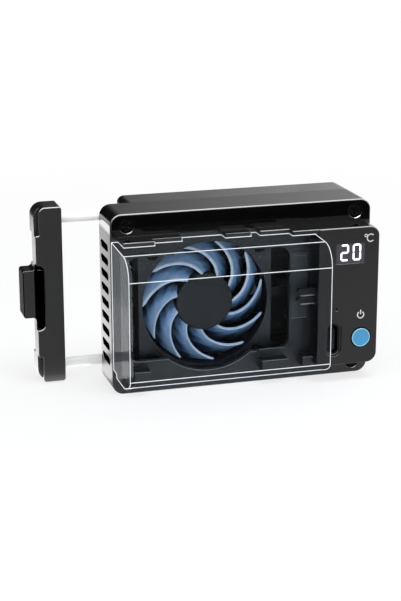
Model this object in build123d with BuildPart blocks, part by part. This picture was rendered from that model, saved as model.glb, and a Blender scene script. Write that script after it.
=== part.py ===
from build123d import *
import math
import os

# Camera cooling fan: a small fan and a thermoelectric cooler in a flat case that clips to the back of a camera.
# Origin: centre of the camera-side contact plane. X runs right, Y runs from the front to the camera, Z runs up.

os.makedirs("parts", exist_ok=True)

# Main case
body_width = 78.0
body_height = 53.0
shell_depth = 14.0
block_depth = 10.5
block_inset = 7.7
pad_proud = 0.5
plate_thick = 2.0
shell_wall = 1.6
block_wall = 1.8
rear_wall = 1.8
shell_corner = 3.3
block_corner = 2.0
edge_round = 0.4
lip_gap = 0.15
lip_depth = 1.6
lip_wall = 1.4
ledge_depth = 1.4

# Cooling stack, from the window to the camera
fan_floor = 4.2
fan_headroom = 8.8
fan_gap = 4.4
fan_depth = 6.0
fan_corner = 2.5
fan_rim = 1.1
fan_hole_edge = 4.0
tip_gap = 0.4
sink_gap = 0.9
sink_inset = 1.4
sink_base = 1.5
sink_boss_radius = 1.9
peltier_inset = 2.0
peltier_thick = 3.0
flange_gap = 0.7
flange_thick = 2.6
pad_inset = 1.0
pad_thick = 0.9

# Front window and the vents on the left side
window_left_edge = 4.8
window_right_edge = 6.2
window_top_edge = 12.8
window_bottom_edge = 9.3
window_corner = 3.0
window_circle_gap = 0.4
vent_count = 9
vent_pitch = 4.2
vent_height = 2.2
vent_length = 9.2
vent_front_gap = 1.0
vent_rise = 1.6

# Control block on the right of the front
control_width = 18.6
control_top_edge = 6.5
control_bottom_edge = 5.3
control_depth = 7.5
control_wall = 1.5
control_corner = 3.0
board_thick = 1.2

# Battery bay
case_left_gap = 0.2
case_right_gap = 1.0
case_depth = 20.4
case_rear_gap = 0.6
case_wall = 1.2
case_top_round = 6.0
case_bottom_round = 4.0
case_top_edge = 7.7
case_bottom_edge = 6.5
case_top_slope = 0.5
groove_height = 1.25
groove_depth = 3.8
rail_gap = 0.15
rail_long = 7.5
rail_short = 4.5

# Clamp arm and its two sliding rods
rod_radius = 1.5
rod_edge_gap = 0.5
rod_wall_gap = 0.4
rod_gap = 0.05
rod_overlap = 5.6
arm_width = 7.8
arm_front_gap = 1.7
arm_back = 0.6
arm_travel = 17.8
arm_stop_gap = 0.4
arm_end_gap = 0.3
bush_length = 3.2
rod_bush_wall = 0.65
spring_wire = 0.4
spring_gap = 0.1
spring_length = 38.0

# Small fits and fasteners
seat_gap = 0.03
hole_gap = 0.1
thread_gap = 0.05
screw_radius = 1.0
screw_head_radius = 2.0
screw_head_height = 1.2
screw_edge_x = 4.8
screw_edge_z = 3.5
boss_radius = 2.6

# Places that follow from the sizes above
half_width = body_width / 2
half_height = body_height / 2
y_block_rear = -pad_proud
y_block_inner = y_block_rear - rear_wall
y_shell_rear = y_block_rear - block_depth
y_front = y_shell_rear - shell_depth
y_plate_back = y_front + plate_thick
x_block_left = -half_width + block_inset
x_block_inner = x_block_left + block_wall
fan_size = body_height - fan_floor - fan_headroom
fan_bore_radius = fan_size / 2 - fan_rim
fan_hole_pitch = fan_size - 2 * fan_hole_edge
sink_width = fan_size - 2 * sink_inset
sink_height = fan_hole_pitch + 2 * sink_boss_radius
fan_x = x_block_inner + sink_gap + sink_width / 2
fan_z = -half_height + fan_floor + fan_size / 2
x_fan_right = fan_x + fan_size / 2
y_fan_front = y_front + fan_gap
y_fan_rear = y_fan_front + fan_depth
y_flange_rear = y_block_inner
y_cold_front = y_flange_rear - flange_thick
y_sink_rear = y_cold_front - peltier_thick
y_fin_rear = y_sink_rear - sink_base
fin_height = y_fin_rear - y_fan_rear
x_control_left = half_width - control_width
control_height = body_height - control_top_edge - control_bottom_edge
control_top = half_height - control_top_edge
control_bottom = -half_height + control_bottom_edge
control_z = (control_top + control_bottom) / 2
y_control_front = y_front - control_depth
y_board_front = y_front - board_thick
bush_radius = rod_radius + rod_gap + rod_bush_wall
rod_z = half_height - block_wall - rod_edge_gap - bush_radius
rod_y = y_block_inner - rod_wall_gap - bush_radius
spring_inner_radius = rod_radius + spring_gap
spring_outer_radius = spring_inner_radius + spring_wire
flange_height = 2 * (rod_z - spring_outer_radius - flange_gap + fan_z)
peltier_size = flange_height - 2 * peltier_inset
pad_size = flange_height - 2 * pad_inset
x_case_left = -half_width + case_left_gap
case_length = x_control_left - case_right_gap - x_case_left
case_top_rear = half_height - case_top_edge
case_top_front = case_top_rear - case_top_slope
case_bottom = -half_height + case_bottom_edge
x_window_left = -half_width + window_left_edge
x_window_right = x_control_left - window_right_edge
window_top = half_height - window_top_edge
window_bottom = -half_height + window_bottom_edge
arm_depth = y_block_rear - arm_back + pad_proud - y_shell_rear - arm_front_gap
inner_width = body_width - 2 * shell_wall
inner_height = body_height - 2 * shell_wall
lip_width = inner_width - 2 * lip_gap
lip_height = inner_height - 2 * lip_gap


def facing_front(y):
    """A plane at depth y that faces the front of the fan."""
    return Plane.XZ.offset(-y)


def facing_right(x):
    """A plane at x that faces the right side of the fan."""
    return Plane.YZ.offset(x)


def save(piece, name):
    """Label a finished piece and write it as its own file."""
    piece.part.label = name
    export_step(piece.part, "parts/" + name + ".step")


screw_x = half_width - screw_edge_x
screw_z = half_height - screw_edge_z
head_recess_radius = screw_head_radius + hole_gap
head_recess_depth = screw_head_height

# Rails over the clear case: left edge, right edge and how far each stands out of the plate
rail_low = case_top_rear + rail_gap
rail_thick = control_top - rail_low
rail_start = 2.2
rail_wide = 8.7
rail_narrow = 7.5
last_rail_width = 8.0
rail_break = 2.8
first_rail_left = -half_width + rail_start
second_rail_left = first_rail_left + rail_wide
last_rail_left = x_control_left - last_rail_width
fourth_rail_left = last_rail_left - rail_wide
third_rail_left = fourth_rail_left - rail_break - rail_narrow
rails = [
    (first_rail_left, second_rail_left, rail_long),
    (second_rail_left, second_rail_left + rail_wide, rail_short),
    (third_rail_left, third_rail_left + rail_narrow, rail_short),
    (fourth_rail_left, last_rail_left, rail_short),
]

# Hooks in the groove under the clear case: left edge and right edge
hook_gap = 0.3
hook_height = 3.0
hook_depth = groove_depth + case_rear_gap - hook_gap
hook_top = case_bottom + groove_height - hook_gap
first_hook_start = 5.6
first_hook_width = 4.8
middle_hook_start = 15.6
middle_hook_width = 8.0
last_hook_width = 3.0
last_hook_gap = 0.1
middle_hook_left = x_control_left - middle_hook_start
last_hook_right = x_control_left - last_hook_gap
hooks = [
    (-half_width + first_hook_start, -half_width + first_hook_start + first_hook_width),
    (middle_hook_left, middle_hook_left + middle_hook_width),
    (last_hook_right - last_hook_width, last_hook_right),
]
latch_height = 2.4
latch_proud = 0.4

# Contact panel beside the window
panel_width = 4.9
panel_edge = 0.7
panel_low_gap = 9.2
panel_high_gap = 2.0
panel_thick = 1.0
panel_right = x_control_left - panel_edge
panel_left = panel_right - panel_width
panel_low = window_bottom + panel_low_gap
panel_high = window_top - panel_high_gap

# Link between the two boards, through the plate
link_x = x_control_left + 10.6
link_z = control_z + 4.8
link_width = 5.0
link_height = 2.4
link_gap = 0.3

# Display, button, socket and status light of the control block
control_x = x_control_left + control_width / 2
display_x = control_x + 0.35
display_z = control_top - 7.75
display_width = 8.7
display_height = 5.9
module_width = 10.8
module_height = 9.0
button_x = half_width - 5.1
button_z = control_bottom + 7.9
button_radius = 2.95
button_proud = 0.4
button_travel = 0.5
button_gap = 0.12
button_flange = 0.7
button_flange_radius = 3.5
usb_x = x_control_left + 5.1
usb_z = button_z
usb_width = 3.2
usb_length = 8.94
usb_reach = 5.9
usb_floor = 1.2
socket_gap = 0.2
recess_gap = 0.8
recess_depth = 0.4
led_x = x_control_left + 5.9
led_z = control_z - 3.6
led_radius = 0.5

# Screws that hold the control block, driven from behind the plate
cover_screw_radius = 0.8
cover_boss_radius = 1.7
cover_pilot_depth = 3.6
cover_screw_places = [
    (half_width - 5.5, control_z - 2.4),
    (x_control_left + 5.3, display_z - module_height / 2 - cover_boss_radius - 1.45),
]

# Pads behind the plate that hold the fan frame down
pad_offset = 12.5
pad_edge = 1.1
press_width = 5.0
press_height = 1.4

with BuildPart() as front_frame:
    with BuildSketch(facing_front(y_shell_rear)) as shell_outline:
        RectangleRounded(body_width, body_height, shell_corner)
    extrude(amount=shell_depth)
    fillet(front_frame.faces().sort_by(Axis.Y)[0].edges(), edge_round)
    with BuildSketch(facing_front(y_shell_rear)) as shell_pocket:
        RectangleRounded(inner_width, inner_height, shell_corner - shell_wall)
    extrude(amount=shell_depth - plate_thick, mode=Mode.SUBTRACT)
    # Window in front of the fan, with its round bulges above and below
    with BuildSketch(facing_front(y_plate_back)) as window_outline:
        with Locations(((x_window_left + x_window_right) / 2, (window_bottom + window_top) / 2)):
            RectangleRounded(x_window_right - x_window_left, window_top - window_bottom, window_corner)
        with Locations((fan_x, fan_z)):
            Circle(fan_bore_radius + window_circle_gap)
    extrude(amount=plate_thick, mode=Mode.SUBTRACT)
    # Rails that hold the clear case from above
    for left, right, reach in rails:
        with BuildSketch(facing_front(y_front)) as rail_outline:
            with Locations(((left + right) / 2, rail_low + rail_thick / 2)):
                Rectangle(right - left, rail_thick)
        extrude(amount=reach)
    # Hooks that run in the groove under the clear case
    for left, right in hooks:
        with BuildSketch(facing_front(y_front)) as hook_outline:
            with Locations(((left + right) / 2, hook_top - hook_height / 2)):
                Rectangle(right - left, hook_height)
        extrude(amount=hook_depth)
    # Low latch plate above the middle hook
    with BuildSketch(facing_front(y_front)) as latch_outline:
        with Locations(((hooks[1][0] + hooks[1][1]) / 2, hook_top + latch_height / 2)):
            Rectangle(hooks[1][1] - hooks[1][0], latch_height)
    extrude(amount=latch_proud)
    # Shallow seat for the contact panel
    with BuildSketch(facing_front(y_front + panel_thick)) as panel_seat:
        with Locations(((panel_left + panel_right) / 2, (panel_low + panel_high) / 2)):
            Rectangle(panel_right - panel_left + 2 * seat_gap, panel_high - panel_low + 2 * seat_gap)
    extrude(amount=panel_thick, mode=Mode.SUBTRACT)
    # Way through the plate for the link between the boards
    with BuildSketch(facing_front(y_plate_back)) as link_slot:
        with Locations((link_x, link_z)):
            Rectangle(link_width + 2 * link_gap, link_height + 2 * link_gap)
    extrude(amount=plate_thick, mode=Mode.SUBTRACT)
    # Pads that press the fan frame against the heat sink
    with BuildSketch(facing_front(y_fan_front)) as press_pads:
        with Locations((fan_x, fan_z)):
            with GridLocations(2 * pad_offset, fan_size - 2 * pad_edge, 2, 2):
                Rectangle(press_width, press_height)
    extrude(amount=y_fan_front - y_plate_back)
    # Vents in the left side
    with BuildSketch(facing_right(-half_width)) as vent_outline:
        with Locations((y_plate_back + vent_front_gap + vent_length / 2, fan_z + vent_rise)):
            with GridLocations(0, vent_pitch, 1, vent_count):
                SlotOverall(vent_length, vent_height)
    extrude(amount=shell_wall, mode=Mode.SUBTRACT)
    # Screw holes in the four corners and behind the control block
    with Locations(facing_front(y_front)):
        with GridLocations(2 * screw_x, 2 * screw_z, 2, 2):
            CounterBoreHole(screw_radius + hole_gap, head_recess_radius, head_recess_depth, plate_thick)
    with Locations(facing_front(y_front)):
        with Locations(*cover_screw_places):
            Hole(cover_screw_radius + hole_gap, plate_thick)
save(front_frame, "front_frame")

# Spring seats and board posts inside the rear housing
seat_thick = 2.0
seat_rim = 0.3
seat_foot = 1.0
bush_inner_end = x_block_left + bush_length
collar_length = 2.0
collar_gap = 0.02
x_collar_left = bush_inner_end + collar_gap
x_spring_left = x_collar_left + collar_length
x_spring_right = x_spring_left + spring_length
driver_left = x_fan_right + 3.5
driver_right = half_width - block_wall - 3.7
driver_width = driver_right - driver_left
driver_height = 34.0
driver_thick = 1.6
driver_x = (driver_left + driver_right) / 2
pin_reach = 0.4
cold_window_gap = 0.2
post_length = 6.7
post_edge = 2.4
post_radius = 1.8
post_pin_radius = 0.9
y_driver_rear = y_block_inner - post_length
y_driver_front = y_driver_rear - driver_thick
cold_window = pad_size + 2 * cold_window_gap
pilot_depth = 7.0

with BuildPart() as rear_housing:
    with BuildSketch(facing_front(y_block_rear)) as block_outline:
        with Locations(((x_block_left + half_width) / 2, 0)):
            Rectangle(half_width - x_block_left, body_height)
        fillet(block_outline.vertices().group_by(Axis.X)[0], block_corner)
        fillet(block_outline.vertices().group_by(Axis.X)[-1], shell_corner)
    extrude(amount=block_depth)
    fillet(rear_housing.faces().sort_by(Axis.Y)[-1].edges(), edge_round)
    # Lip that nests inside the front shell
    with BuildSketch(facing_front(y_shell_rear)) as lip_outline:
        RectangleRounded(lip_width, lip_height, shell_corner - shell_wall - lip_gap)
    extrude(amount=lip_depth)
    # Deep pocket, then the narrower mouth that leaves a ledge behind the lip
    with BuildSketch(facing_front(y_block_inner)) as deep_pocket:
        with Locations(((x_block_inner + half_width - block_wall) / 2, 0)):
            Rectangle(half_width - block_wall - x_block_inner, body_height - 2 * block_wall)
    extrude(amount=block_depth - rear_wall - ledge_depth, mode=Mode.SUBTRACT)
    with BuildSketch(facing_front(y_shell_rear + ledge_depth)) as pocket_mouth:
        with Locations(((x_block_inner + lip_width / 2 - lip_wall) / 2, 0)):
            Rectangle(lip_width / 2 - lip_wall - x_block_inner, lip_height - 2 * lip_wall)
    extrude(amount=ledge_depth + lip_depth, mode=Mode.SUBTRACT)
    # Bosses for the four front screws, kept inside the lip
    with BuildSketch(facing_front(y_shell_rear)) as boss_outline:
        with GridLocations(2 * screw_x, 2 * screw_z, 2, 2):
            Circle(boss_radius)
        RectangleRounded(lip_width, lip_height, shell_corner - shell_wall - lip_gap, mode=Mode.INTERSECT)
    extrude(amount=y_shell_rear - y_plate_back)
    with Locations(facing_front(y_plate_back)):
        with GridLocations(2 * screw_x, 2 * screw_z, 2, 2):
            Hole(screw_radius + thread_gap, pilot_depth)
    # Window for the cold plate
    with BuildSketch(facing_front(y_block_rear)) as cold_window_outline:
        with Locations((fan_x, fan_z)):
            Rectangle(cold_window, cold_window)
    extrude(amount=rear_wall, mode=Mode.SUBTRACT)
    # Seats at the inner ends of the two springs
    for side in (-1, 1):
        with BuildSketch(facing_right(x_spring_right)) as seat_outline:
            with Locations((rod_y, side * rod_z)):
                Circle(spring_outer_radius + seat_rim)
            with Locations((y_block_inner - seat_foot / 2, side * rod_z)):
                Rectangle(seat_foot, 2 * spring_outer_radius)
        extrude(amount=seat_thick)
    # Posts with pins that carry the driver board
    with BuildSketch(facing_front(y_block_inner)) as post_outline:
        with Locations((driver_x, 0)):
            with GridLocations(driver_width - 2 * post_edge, driver_height - 2 * post_edge, 2, 2):
                Circle(post_radius)
    extrude(amount=post_length)
    with BuildSketch(facing_front(y_driver_rear)) as pin_outline:
        with Locations((driver_x, 0)):
            with GridLocations(driver_width - 2 * post_edge, driver_height - 2 * post_edge, 2, 2):
                Circle(post_pin_radius)
    extrude(amount=driver_thick + pin_reach)
    # Holes for the rod bushes in the left wall
    with Locations(facing_right(x_block_left)):
        with Locations((rod_y, rod_z), (rod_y, -rod_z)):
            Hole(bush_radius + seat_gap, block_wall)
save(rear_housing, "rear_housing")

# Battery contacts in the left wall of the control block
contact_z = (case_top_rear + case_bottom) / 2 + 0.25
contact_y = y_front - 4.0
contact_spacing = 2.5
contact_reach = 5.3
prong_depth = 1.6
prong_height = 1.9
strip_thick = 0.3
contact_gap = 0.4
contact_window_height = 2 * contact_spacing + 2 * contact_gap
contact_window_depth = prong_depth + 2 * contact_gap
pocket_corner = 1.5
y_control_inner = y_control_front + control_wall

with BuildPart() as control_cover:
    with BuildSketch(facing_front(y_front)) as cover_outline:
        with Locations((control_x, control_z)):
            Rectangle(control_width, control_height)
        fillet(cover_outline.vertices().group_by(Axis.X)[-1], control_corner)
        fillet(cover_outline.vertices().group_by(Axis.X)[0], edge_round)
    extrude(amount=control_depth)
    fillet(control_cover.faces().sort_by(Axis.Y)[0].edges(), edge_round)
    with BuildSketch(facing_front(y_front)) as cover_pocket:
        with Locations((control_x, control_z)):
            RectangleRounded(control_width - 2 * control_wall, control_height - 2 * control_wall, pocket_corner)
    extrude(amount=control_depth - control_wall, mode=Mode.SUBTRACT)
    # The last rail over the clear case grows out of the control block
    with BuildSketch(facing_front(y_front)) as last_rail:
        with Locations(((last_rail_left + x_control_left) / 2, rail_low + rail_thick / 2)):
            Rectangle(x_control_left - last_rail_left, rail_thick)
    extrude(amount=rail_long)
    # Bosses that hold the board down and take the screws
    with BuildSketch(facing_front(y_board_front)) as cover_bosses:
        with Locations(*cover_screw_places):
            Circle(cover_boss_radius)
    extrude(amount=y_board_front - y_control_inner)
    with BuildSketch(facing_front(y_board_front)) as cover_pilots:
        with Locations(*cover_screw_places):
            Circle(cover_screw_radius + thread_gap)
    extrude(amount=cover_pilot_depth, mode=Mode.SUBTRACT)
    # Openings for the display, the button, the socket and the status light
    with BuildSketch(facing_front(y_control_inner)) as front_openings:
        with Locations((display_x, display_z)):
            Rectangle(display_width + 2 * seat_gap, display_height + 2 * seat_gap)
        with Locations((button_x, button_z)):
            Circle(button_radius + button_gap)
        with Locations((usb_x, usb_z)):
            SlotOverall(usb_length + 2 * socket_gap, usb_width + 2 * socket_gap, rotation=90)
        with Locations((led_x, led_z)):
            Circle(led_radius + seat_gap)
    extrude(amount=control_wall, mode=Mode.SUBTRACT)
    # Shallow recess round the socket
    with BuildSketch(facing_front(y_control_front + recess_depth)) as socket_recess:
        with Locations((usb_x, usb_z)):
            SlotOverall(usb_length + 2 * recess_gap, usb_width + 2 * recess_gap, rotation=90)
    extrude(amount=recess_depth, mode=Mode.SUBTRACT)
    # Way out for the battery contacts in the left wall
    with BuildSketch(facing_right(x_control_left)) as contact_way:
        with Locations((contact_y, contact_z)):
            Rectangle(contact_window_depth, contact_window_height)
    extrude(amount=control_wall, mode=Mode.SUBTRACT)
save(control_cover, "control_cover")

board_gap = 0.2
board_corner = 1.0
chip_height = 0.9
with BuildPart() as control_board:
    with BuildSketch(facing_front(y_front)) as board_outline:
        with Locations((control_x, control_z)):
            Rectangle(
                control_width - 2 * control_wall - 2 * board_gap,
                control_height - 2 * control_wall - 2 * board_gap,
            )
        chamfer(board_outline.vertices(), board_corner)
        with Locations(*cover_screw_places):
            Circle(cover_screw_radius + hole_gap, mode=Mode.SUBTRACT)
    extrude(amount=board_thick)
    # Small parts on the front of the board
    with BuildSketch(facing_front(y_board_front)) as chips:
        with Locations((control_x + 0.3, button_z + 5.3)):
            Rectangle(3.0, 2.2)
        with Locations((control_x - 0.1, control_z + 5.2)):
            Rectangle(2.4, 1.4)
    extrude(amount=chip_height)
save(control_board, "control_board")

with BuildPart() as display_module:
    with BuildSketch(facing_front(y_board_front)) as module_outline:
        with Locations((display_x, display_z)):
            Rectangle(module_width, module_height)
    extrude(amount=y_board_front - y_control_inner)
save(display_module, "display_module")

with BuildPart() as display_window:
    with BuildSketch(facing_front(y_control_inner)) as pane_outline:
        with Locations((display_x, display_z)):
            Rectangle(display_width, display_height)
    extrude(amount=control_wall)
save(display_window, "display_window")

socket_wall = 0.3
tongue_width = 0.7
tongue_length = 6.2
with BuildPart() as usb_port:
    with BuildSketch(facing_front(y_board_front)) as socket_outline:
        with Locations((usb_x, usb_z)):
            SlotOverall(usb_length, usb_width, rotation=90)
    extrude(amount=usb_reach)
    with BuildSketch(facing_front(y_board_front - usb_floor)) as socket_mouth:
        with Locations((usb_x, usb_z)):
            SlotOverall(usb_length - 2 * socket_wall, usb_width - 2 * socket_wall, rotation=90)
            Rectangle(tongue_width, tongue_length, mode=Mode.SUBTRACT)
    extrude(amount=usb_reach - usb_floor, mode=Mode.SUBTRACT)
save(usb_port, "usb_port")

switch_size = 5.0
switch_corner = 0.5
switch_height = 1.9
plunger_radius = 1.0
plunger_gap = 0.1
stem_radius = 1.4
stem_length = 0.5
button_round = 0.3
y_button_rear = y_control_inner + button_flange
y_stem_rear = y_button_rear + stem_length
y_plunger = y_stem_rear + button_travel + plunger_gap
with BuildPart() as power_switch:
    with BuildSketch(facing_front(y_board_front)) as switch_outline:
        with Locations((button_x, button_z)):
            RectangleRounded(switch_size, switch_size, switch_corner)
    extrude(amount=switch_height)
    with BuildSketch(facing_front(y_board_front)) as plunger_outline:
        with Locations((button_x, button_z)):
            Circle(plunger_radius)
    extrude(amount=y_board_front - y_plunger)
save(power_switch, "power_switch")

with BuildPart() as power_button:
    with BuildSketch(facing_front(y_control_inner)) as button_outline:
        with Locations((button_x, button_z)):
            Circle(button_radius)
    extrude(amount=control_wall + button_proud)
    fillet(power_button.faces().sort_by(Axis.Y)[0].edges(), button_round)
    with BuildSketch(facing_front(y_button_rear)) as button_flange_outline:
        with Locations((button_x, button_z)):
            Circle(button_flange_radius)
    extrude(amount=button_flange)
    with BuildSketch(facing_front(y_stem_rear)) as stem_outline:
        with Locations((button_x, button_z)):
            Circle(stem_radius)
    extrude(amount=y_stem_rear - y_button_rear)
save(power_button, "power_button")

with BuildPart() as status_led:
    with BuildSketch(facing_front(y_board_front)) as led_outline:
        with Locations((led_x, led_z)):
            Circle(led_radius)
    extrude(amount=y_board_front - y_control_front)
save(status_led, "status_led")

carrier_thick = 2.0
carrier_rim = 0.8
prong_chamfer = 0.6
strip_start = 1.0
with BuildPart() as contact_block:
    with BuildSketch(facing_right(x_control_left + control_wall)) as carrier_outline:
        with Locations((contact_y, contact_z)):
            Rectangle(contact_window_depth + 2 * carrier_rim, contact_window_height + 2 * carrier_rim)
    extrude(amount=carrier_thick)
    with BuildSketch(facing_right(x_control_left - contact_reach)) as prong_outline:
        with Locations((contact_y, contact_z + strip_thick / 2)):
            with GridLocations(0, contact_spacing, 1, 2):
                Rectangle(prong_depth, prong_height)
    extrude(amount=contact_reach + control_wall)
    # Slanted tips
    chamfer(
        contact_block.faces().sort_by(Axis.X)[:2].edges().filter_by(Axis.Y).group_by(Axis.X)[0],
        prong_chamfer,
    )
save(contact_block, "contact_block")

with BuildPart() as battery_contacts:
    with BuildSketch(facing_right(x_control_left - contact_reach + strip_start)) as strip_outline:
        with Locations((contact_y, contact_z - prong_height / 2)):
            with GridLocations(0, contact_spacing, 1, 2):
                Rectangle(prong_depth, strip_thick)
    extrude(amount=contact_reach - strip_start + control_wall)
save(battery_contacts, "battery_contacts")

with BuildPart() as contact_panel:
    with BuildSketch(facing_front(y_front + panel_thick)) as panel_outline:
        with Locations(((panel_left + panel_right) / 2, (panel_low + panel_high) / 2)):
            Rectangle(panel_right - panel_left, panel_high - panel_low)
    extrude(amount=panel_thick)
save(contact_panel, "contact_panel")

# Fan: frame, struts, bearing tube, stator, impeller, magnet and shaft
hub_radius = 8.6
strut_thick = 0.8
strut_overlap = 0.4
strut_width = 2.4
tube_radius = 2.6
shaft_radius = 1.0
bush_wall = 0.95
hub_front_gap = 0.3
hub_rear_gap = 0.3
cup_wall = 0.9
cap_thick = 0.9
strut_count = 4
strut_turn = 20.0
tube_gap = 0.6
y_strut_front = y_fan_rear - strut_thick
y_hub_front = y_fan_front + hub_front_gap
y_hub_rear = y_strut_front - hub_rear_gap
y_cap_inner = y_hub_front + cap_thick
y_tube_front = y_cap_inner + tube_gap
bush_outer_radius = shaft_radius + rod_gap + bush_wall

with BuildPart() as fan_frame:
    with BuildSketch(facing_front(y_fan_rear)) as frame_outline:
        with Locations((fan_x, fan_z)):
            RectangleRounded(fan_size, fan_size, fan_corner)
            Circle(fan_bore_radius, mode=Mode.SUBTRACT)
            with GridLocations(fan_hole_pitch, fan_hole_pitch, 2, 2):
                Circle(screw_radius + hole_gap, mode=Mode.SUBTRACT)
    extrude(amount=fan_depth)
    with BuildSketch(facing_front(y_fan_rear)) as strut_outline:
        with Locations((fan_x, fan_z)):
            Circle(hub_radius)
            with PolarLocations(0, strut_count, strut_turn):
                with Locations(((fan_bore_radius + strut_overlap) / 2, 0)):
                    Rectangle(fan_bore_radius + strut_overlap, strut_width)
    extrude(amount=strut_thick)
    with BuildSketch(facing_front(y_strut_front)) as tube_outline:
        with Locations((fan_x, fan_z)):
            Circle(tube_radius)
    extrude(amount=y_strut_front - y_tube_front)
    with BuildSketch(facing_front(y_strut_front)) as tube_bore:
        with Locations((fan_x, fan_z)):
            Circle(bush_outer_radius + seat_gap)
    extrude(amount=y_strut_front - y_tube_front, mode=Mode.SUBTRACT)
save(fan_frame, "fan_frame")

with BuildPart() as fan_bush:
    with BuildSketch(facing_front(y_strut_front)) as bush_outline:
        with Locations((fan_x, fan_z)):
            Circle(bush_outer_radius)
            Circle(shaft_radius + rod_gap, mode=Mode.SUBTRACT)
    extrude(amount=y_strut_front - y_tube_front)
save(fan_bush, "fan_bush")

magnet_wall = 0.75
magnet_end_gap = 0.1
magnet_outer_radius = hub_radius - cup_wall - seat_gap
magnet_inner_radius = magnet_outer_radius - magnet_wall
air_gap = 0.4
pole_count = 6
pole_radius = magnet_inner_radius - air_gap
pole_shoe_thick = 1.3
pole_shoe_width = 4.4
pole_width = 1.5
stator_core = 1.2
stator_depth = 2.4
stator_foot = 0.3
y_stator_rear = y_strut_front - stator_foot
with BuildPart() as fan_stator:
    with BuildSketch(facing_front(y_stator_rear)) as stator_outline:
        with Locations((fan_x, fan_z)):
            Circle(tube_radius + stator_core)
            with PolarLocations(0, pole_count):
                with Locations((pole_radius / 2, 0)):
                    Rectangle(pole_radius, pole_width)
                with Locations((pole_radius - pole_shoe_thick / 2, 0)):
                    Rectangle(pole_shoe_thick, pole_shoe_width)
            Circle(pole_radius, mode=Mode.INTERSECT)
            Circle(tube_radius + seat_gap, mode=Mode.SUBTRACT)
    extrude(amount=stator_depth)
    # Seat that carries the stator on the hub plate of the frame
    with BuildSketch(facing_front(y_strut_front)) as stator_seat:
        with Locations((fan_x, fan_z)):
            Circle(tube_radius + stator_core)
            Circle(tube_radius + seat_gap, mode=Mode.SUBTRACT)
    extrude(amount=stator_foot)
save(fan_stator, "fan_stator")

blade_count = 11
blade_thick = 0.9
blade_sink = 0.4
blade_sweep_middle = 20.0
blade_sweep_tip = 50.0
blade_pitch = 26.0
blade_edge_gap = 0.2
blade_root = hub_radius - blade_sink
blade_tip = fan_bore_radius - tip_gap
blade_middle = (blade_root + blade_tip) / 2
y_blade_front = y_hub_front + blade_edge_gap
y_blade_rear = y_hub_rear - blade_edge_gap
hub_round = 0.5
shaft_seat = 0.3
shaft_boss_wall = 0.9
shaft_skin = 0.3
shaft_end_gap = 0.1
y_shaft_front = y_hub_front + shaft_skin


def blade_point(radius, degrees, side):
    """A point on one side of a blade's section, with half the blade's thickness beside its middle line."""
    angle = math.radians(degrees) + side * blade_thick / (2 * radius)
    return (fan_x + radius * math.cos(angle), fan_z + radius * math.sin(angle))


def blade_section(y, start):
    """The section of one blade at depth y, starting at an angle on the hub."""
    with BuildSketch(facing_front(y)) as section:
        with BuildLine():
            leading = ThreePointArc(
                blade_point(blade_root, start, 1),
                blade_point(blade_middle, start + blade_sweep_middle, 1),
                blade_point(blade_tip, start + blade_sweep_tip, 1),
            )
            trailing = ThreePointArc(
                blade_point(blade_root, start, -1),
                blade_point(blade_middle, start + blade_sweep_middle, -1),
                blade_point(blade_tip, start + blade_sweep_tip, -1),
            )
            Line(leading @ 0, trailing @ 0)
            Line(leading @ 1, trailing @ 1)
        make_face()
    return section.sketch


with BuildPart() as fan_impeller:
    with BuildSketch(facing_front(y_hub_rear)) as hub_outline:
        with Locations((fan_x, fan_z)):
            Circle(hub_radius)
    extrude(amount=y_hub_rear - y_hub_front)
    fillet(fan_impeller.faces().sort_by(Axis.Y)[0].edges(), hub_round)
    for blade in range(blade_count):
        start = blade * 360 / blade_count
        loft([blade_section(y_blade_front, start), blade_section(y_blade_rear, start - blade_pitch)], ruled=True)
    # Hollow of the hub, with the boss that holds the shaft
    with BuildSketch(facing_front(y_hub_rear)) as cup_outline:
        with Locations((fan_x, fan_z)):
            Circle(hub_radius - cup_wall)
    extrude(amount=y_hub_rear - y_cap_inner, mode=Mode.SUBTRACT)
    with BuildSketch(facing_front(y_cap_inner + shaft_seat)) as shaft_boss:
        with Locations((fan_x, fan_z)):
            Circle(shaft_radius + shaft_boss_wall)
    extrude(amount=shaft_seat)
    # The shaft's hole leaves a skin of the cap in front
    with BuildSketch(facing_front(y_cap_inner + shaft_seat)) as shaft_hole:
        with Locations((fan_x, fan_z)):
            Circle(shaft_radius + seat_gap)
    extrude(amount=y_cap_inner + shaft_seat - y_shaft_front, mode=Mode.SUBTRACT)
save(fan_impeller, "fan_impeller")

y_shaft_rear = y_strut_front - shaft_end_gap
with BuildPart() as fan_shaft:
    with BuildSketch(facing_front(y_shaft_rear)) as shaft_outline:
        with Locations((fan_x, fan_z)):
            Circle(shaft_radius)
    extrude(amount=y_shaft_rear - y_shaft_front)
save(fan_shaft, "fan_shaft")

y_magnet_rear = y_hub_rear - magnet_end_gap
with BuildPart() as magnet_ring:
    with BuildSketch(facing_front(y_magnet_rear)) as magnet_outline:
        with Locations((fan_x, fan_z)):
            Circle(magnet_outer_radius)
            Circle(magnet_inner_radius, mode=Mode.SUBTRACT)
    extrude(amount=y_magnet_rear - y_cap_inner)
save(magnet_ring, "magnet_ring")

fan_screw_grip = 4.0
with BuildPart() as fan_screws:
    with BuildSketch(facing_front(y_fan_rear + fan_screw_grip)) as fan_shank:
        with Locations((fan_x, fan_z)):
            with GridLocations(fan_hole_pitch, fan_hole_pitch, 2, 2):
                Circle(screw_radius)
    extrude(amount=fan_screw_grip + fan_depth)
    with BuildSketch(facing_front(y_fan_front)) as fan_heads:
        with Locations((fan_x, fan_z)):
            with GridLocations(fan_hole_pitch, fan_hole_pitch, 2, 2):
                Circle(screw_head_radius)
    extrude(amount=screw_head_height)
save(fan_screws, "fan_screws")

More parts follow.
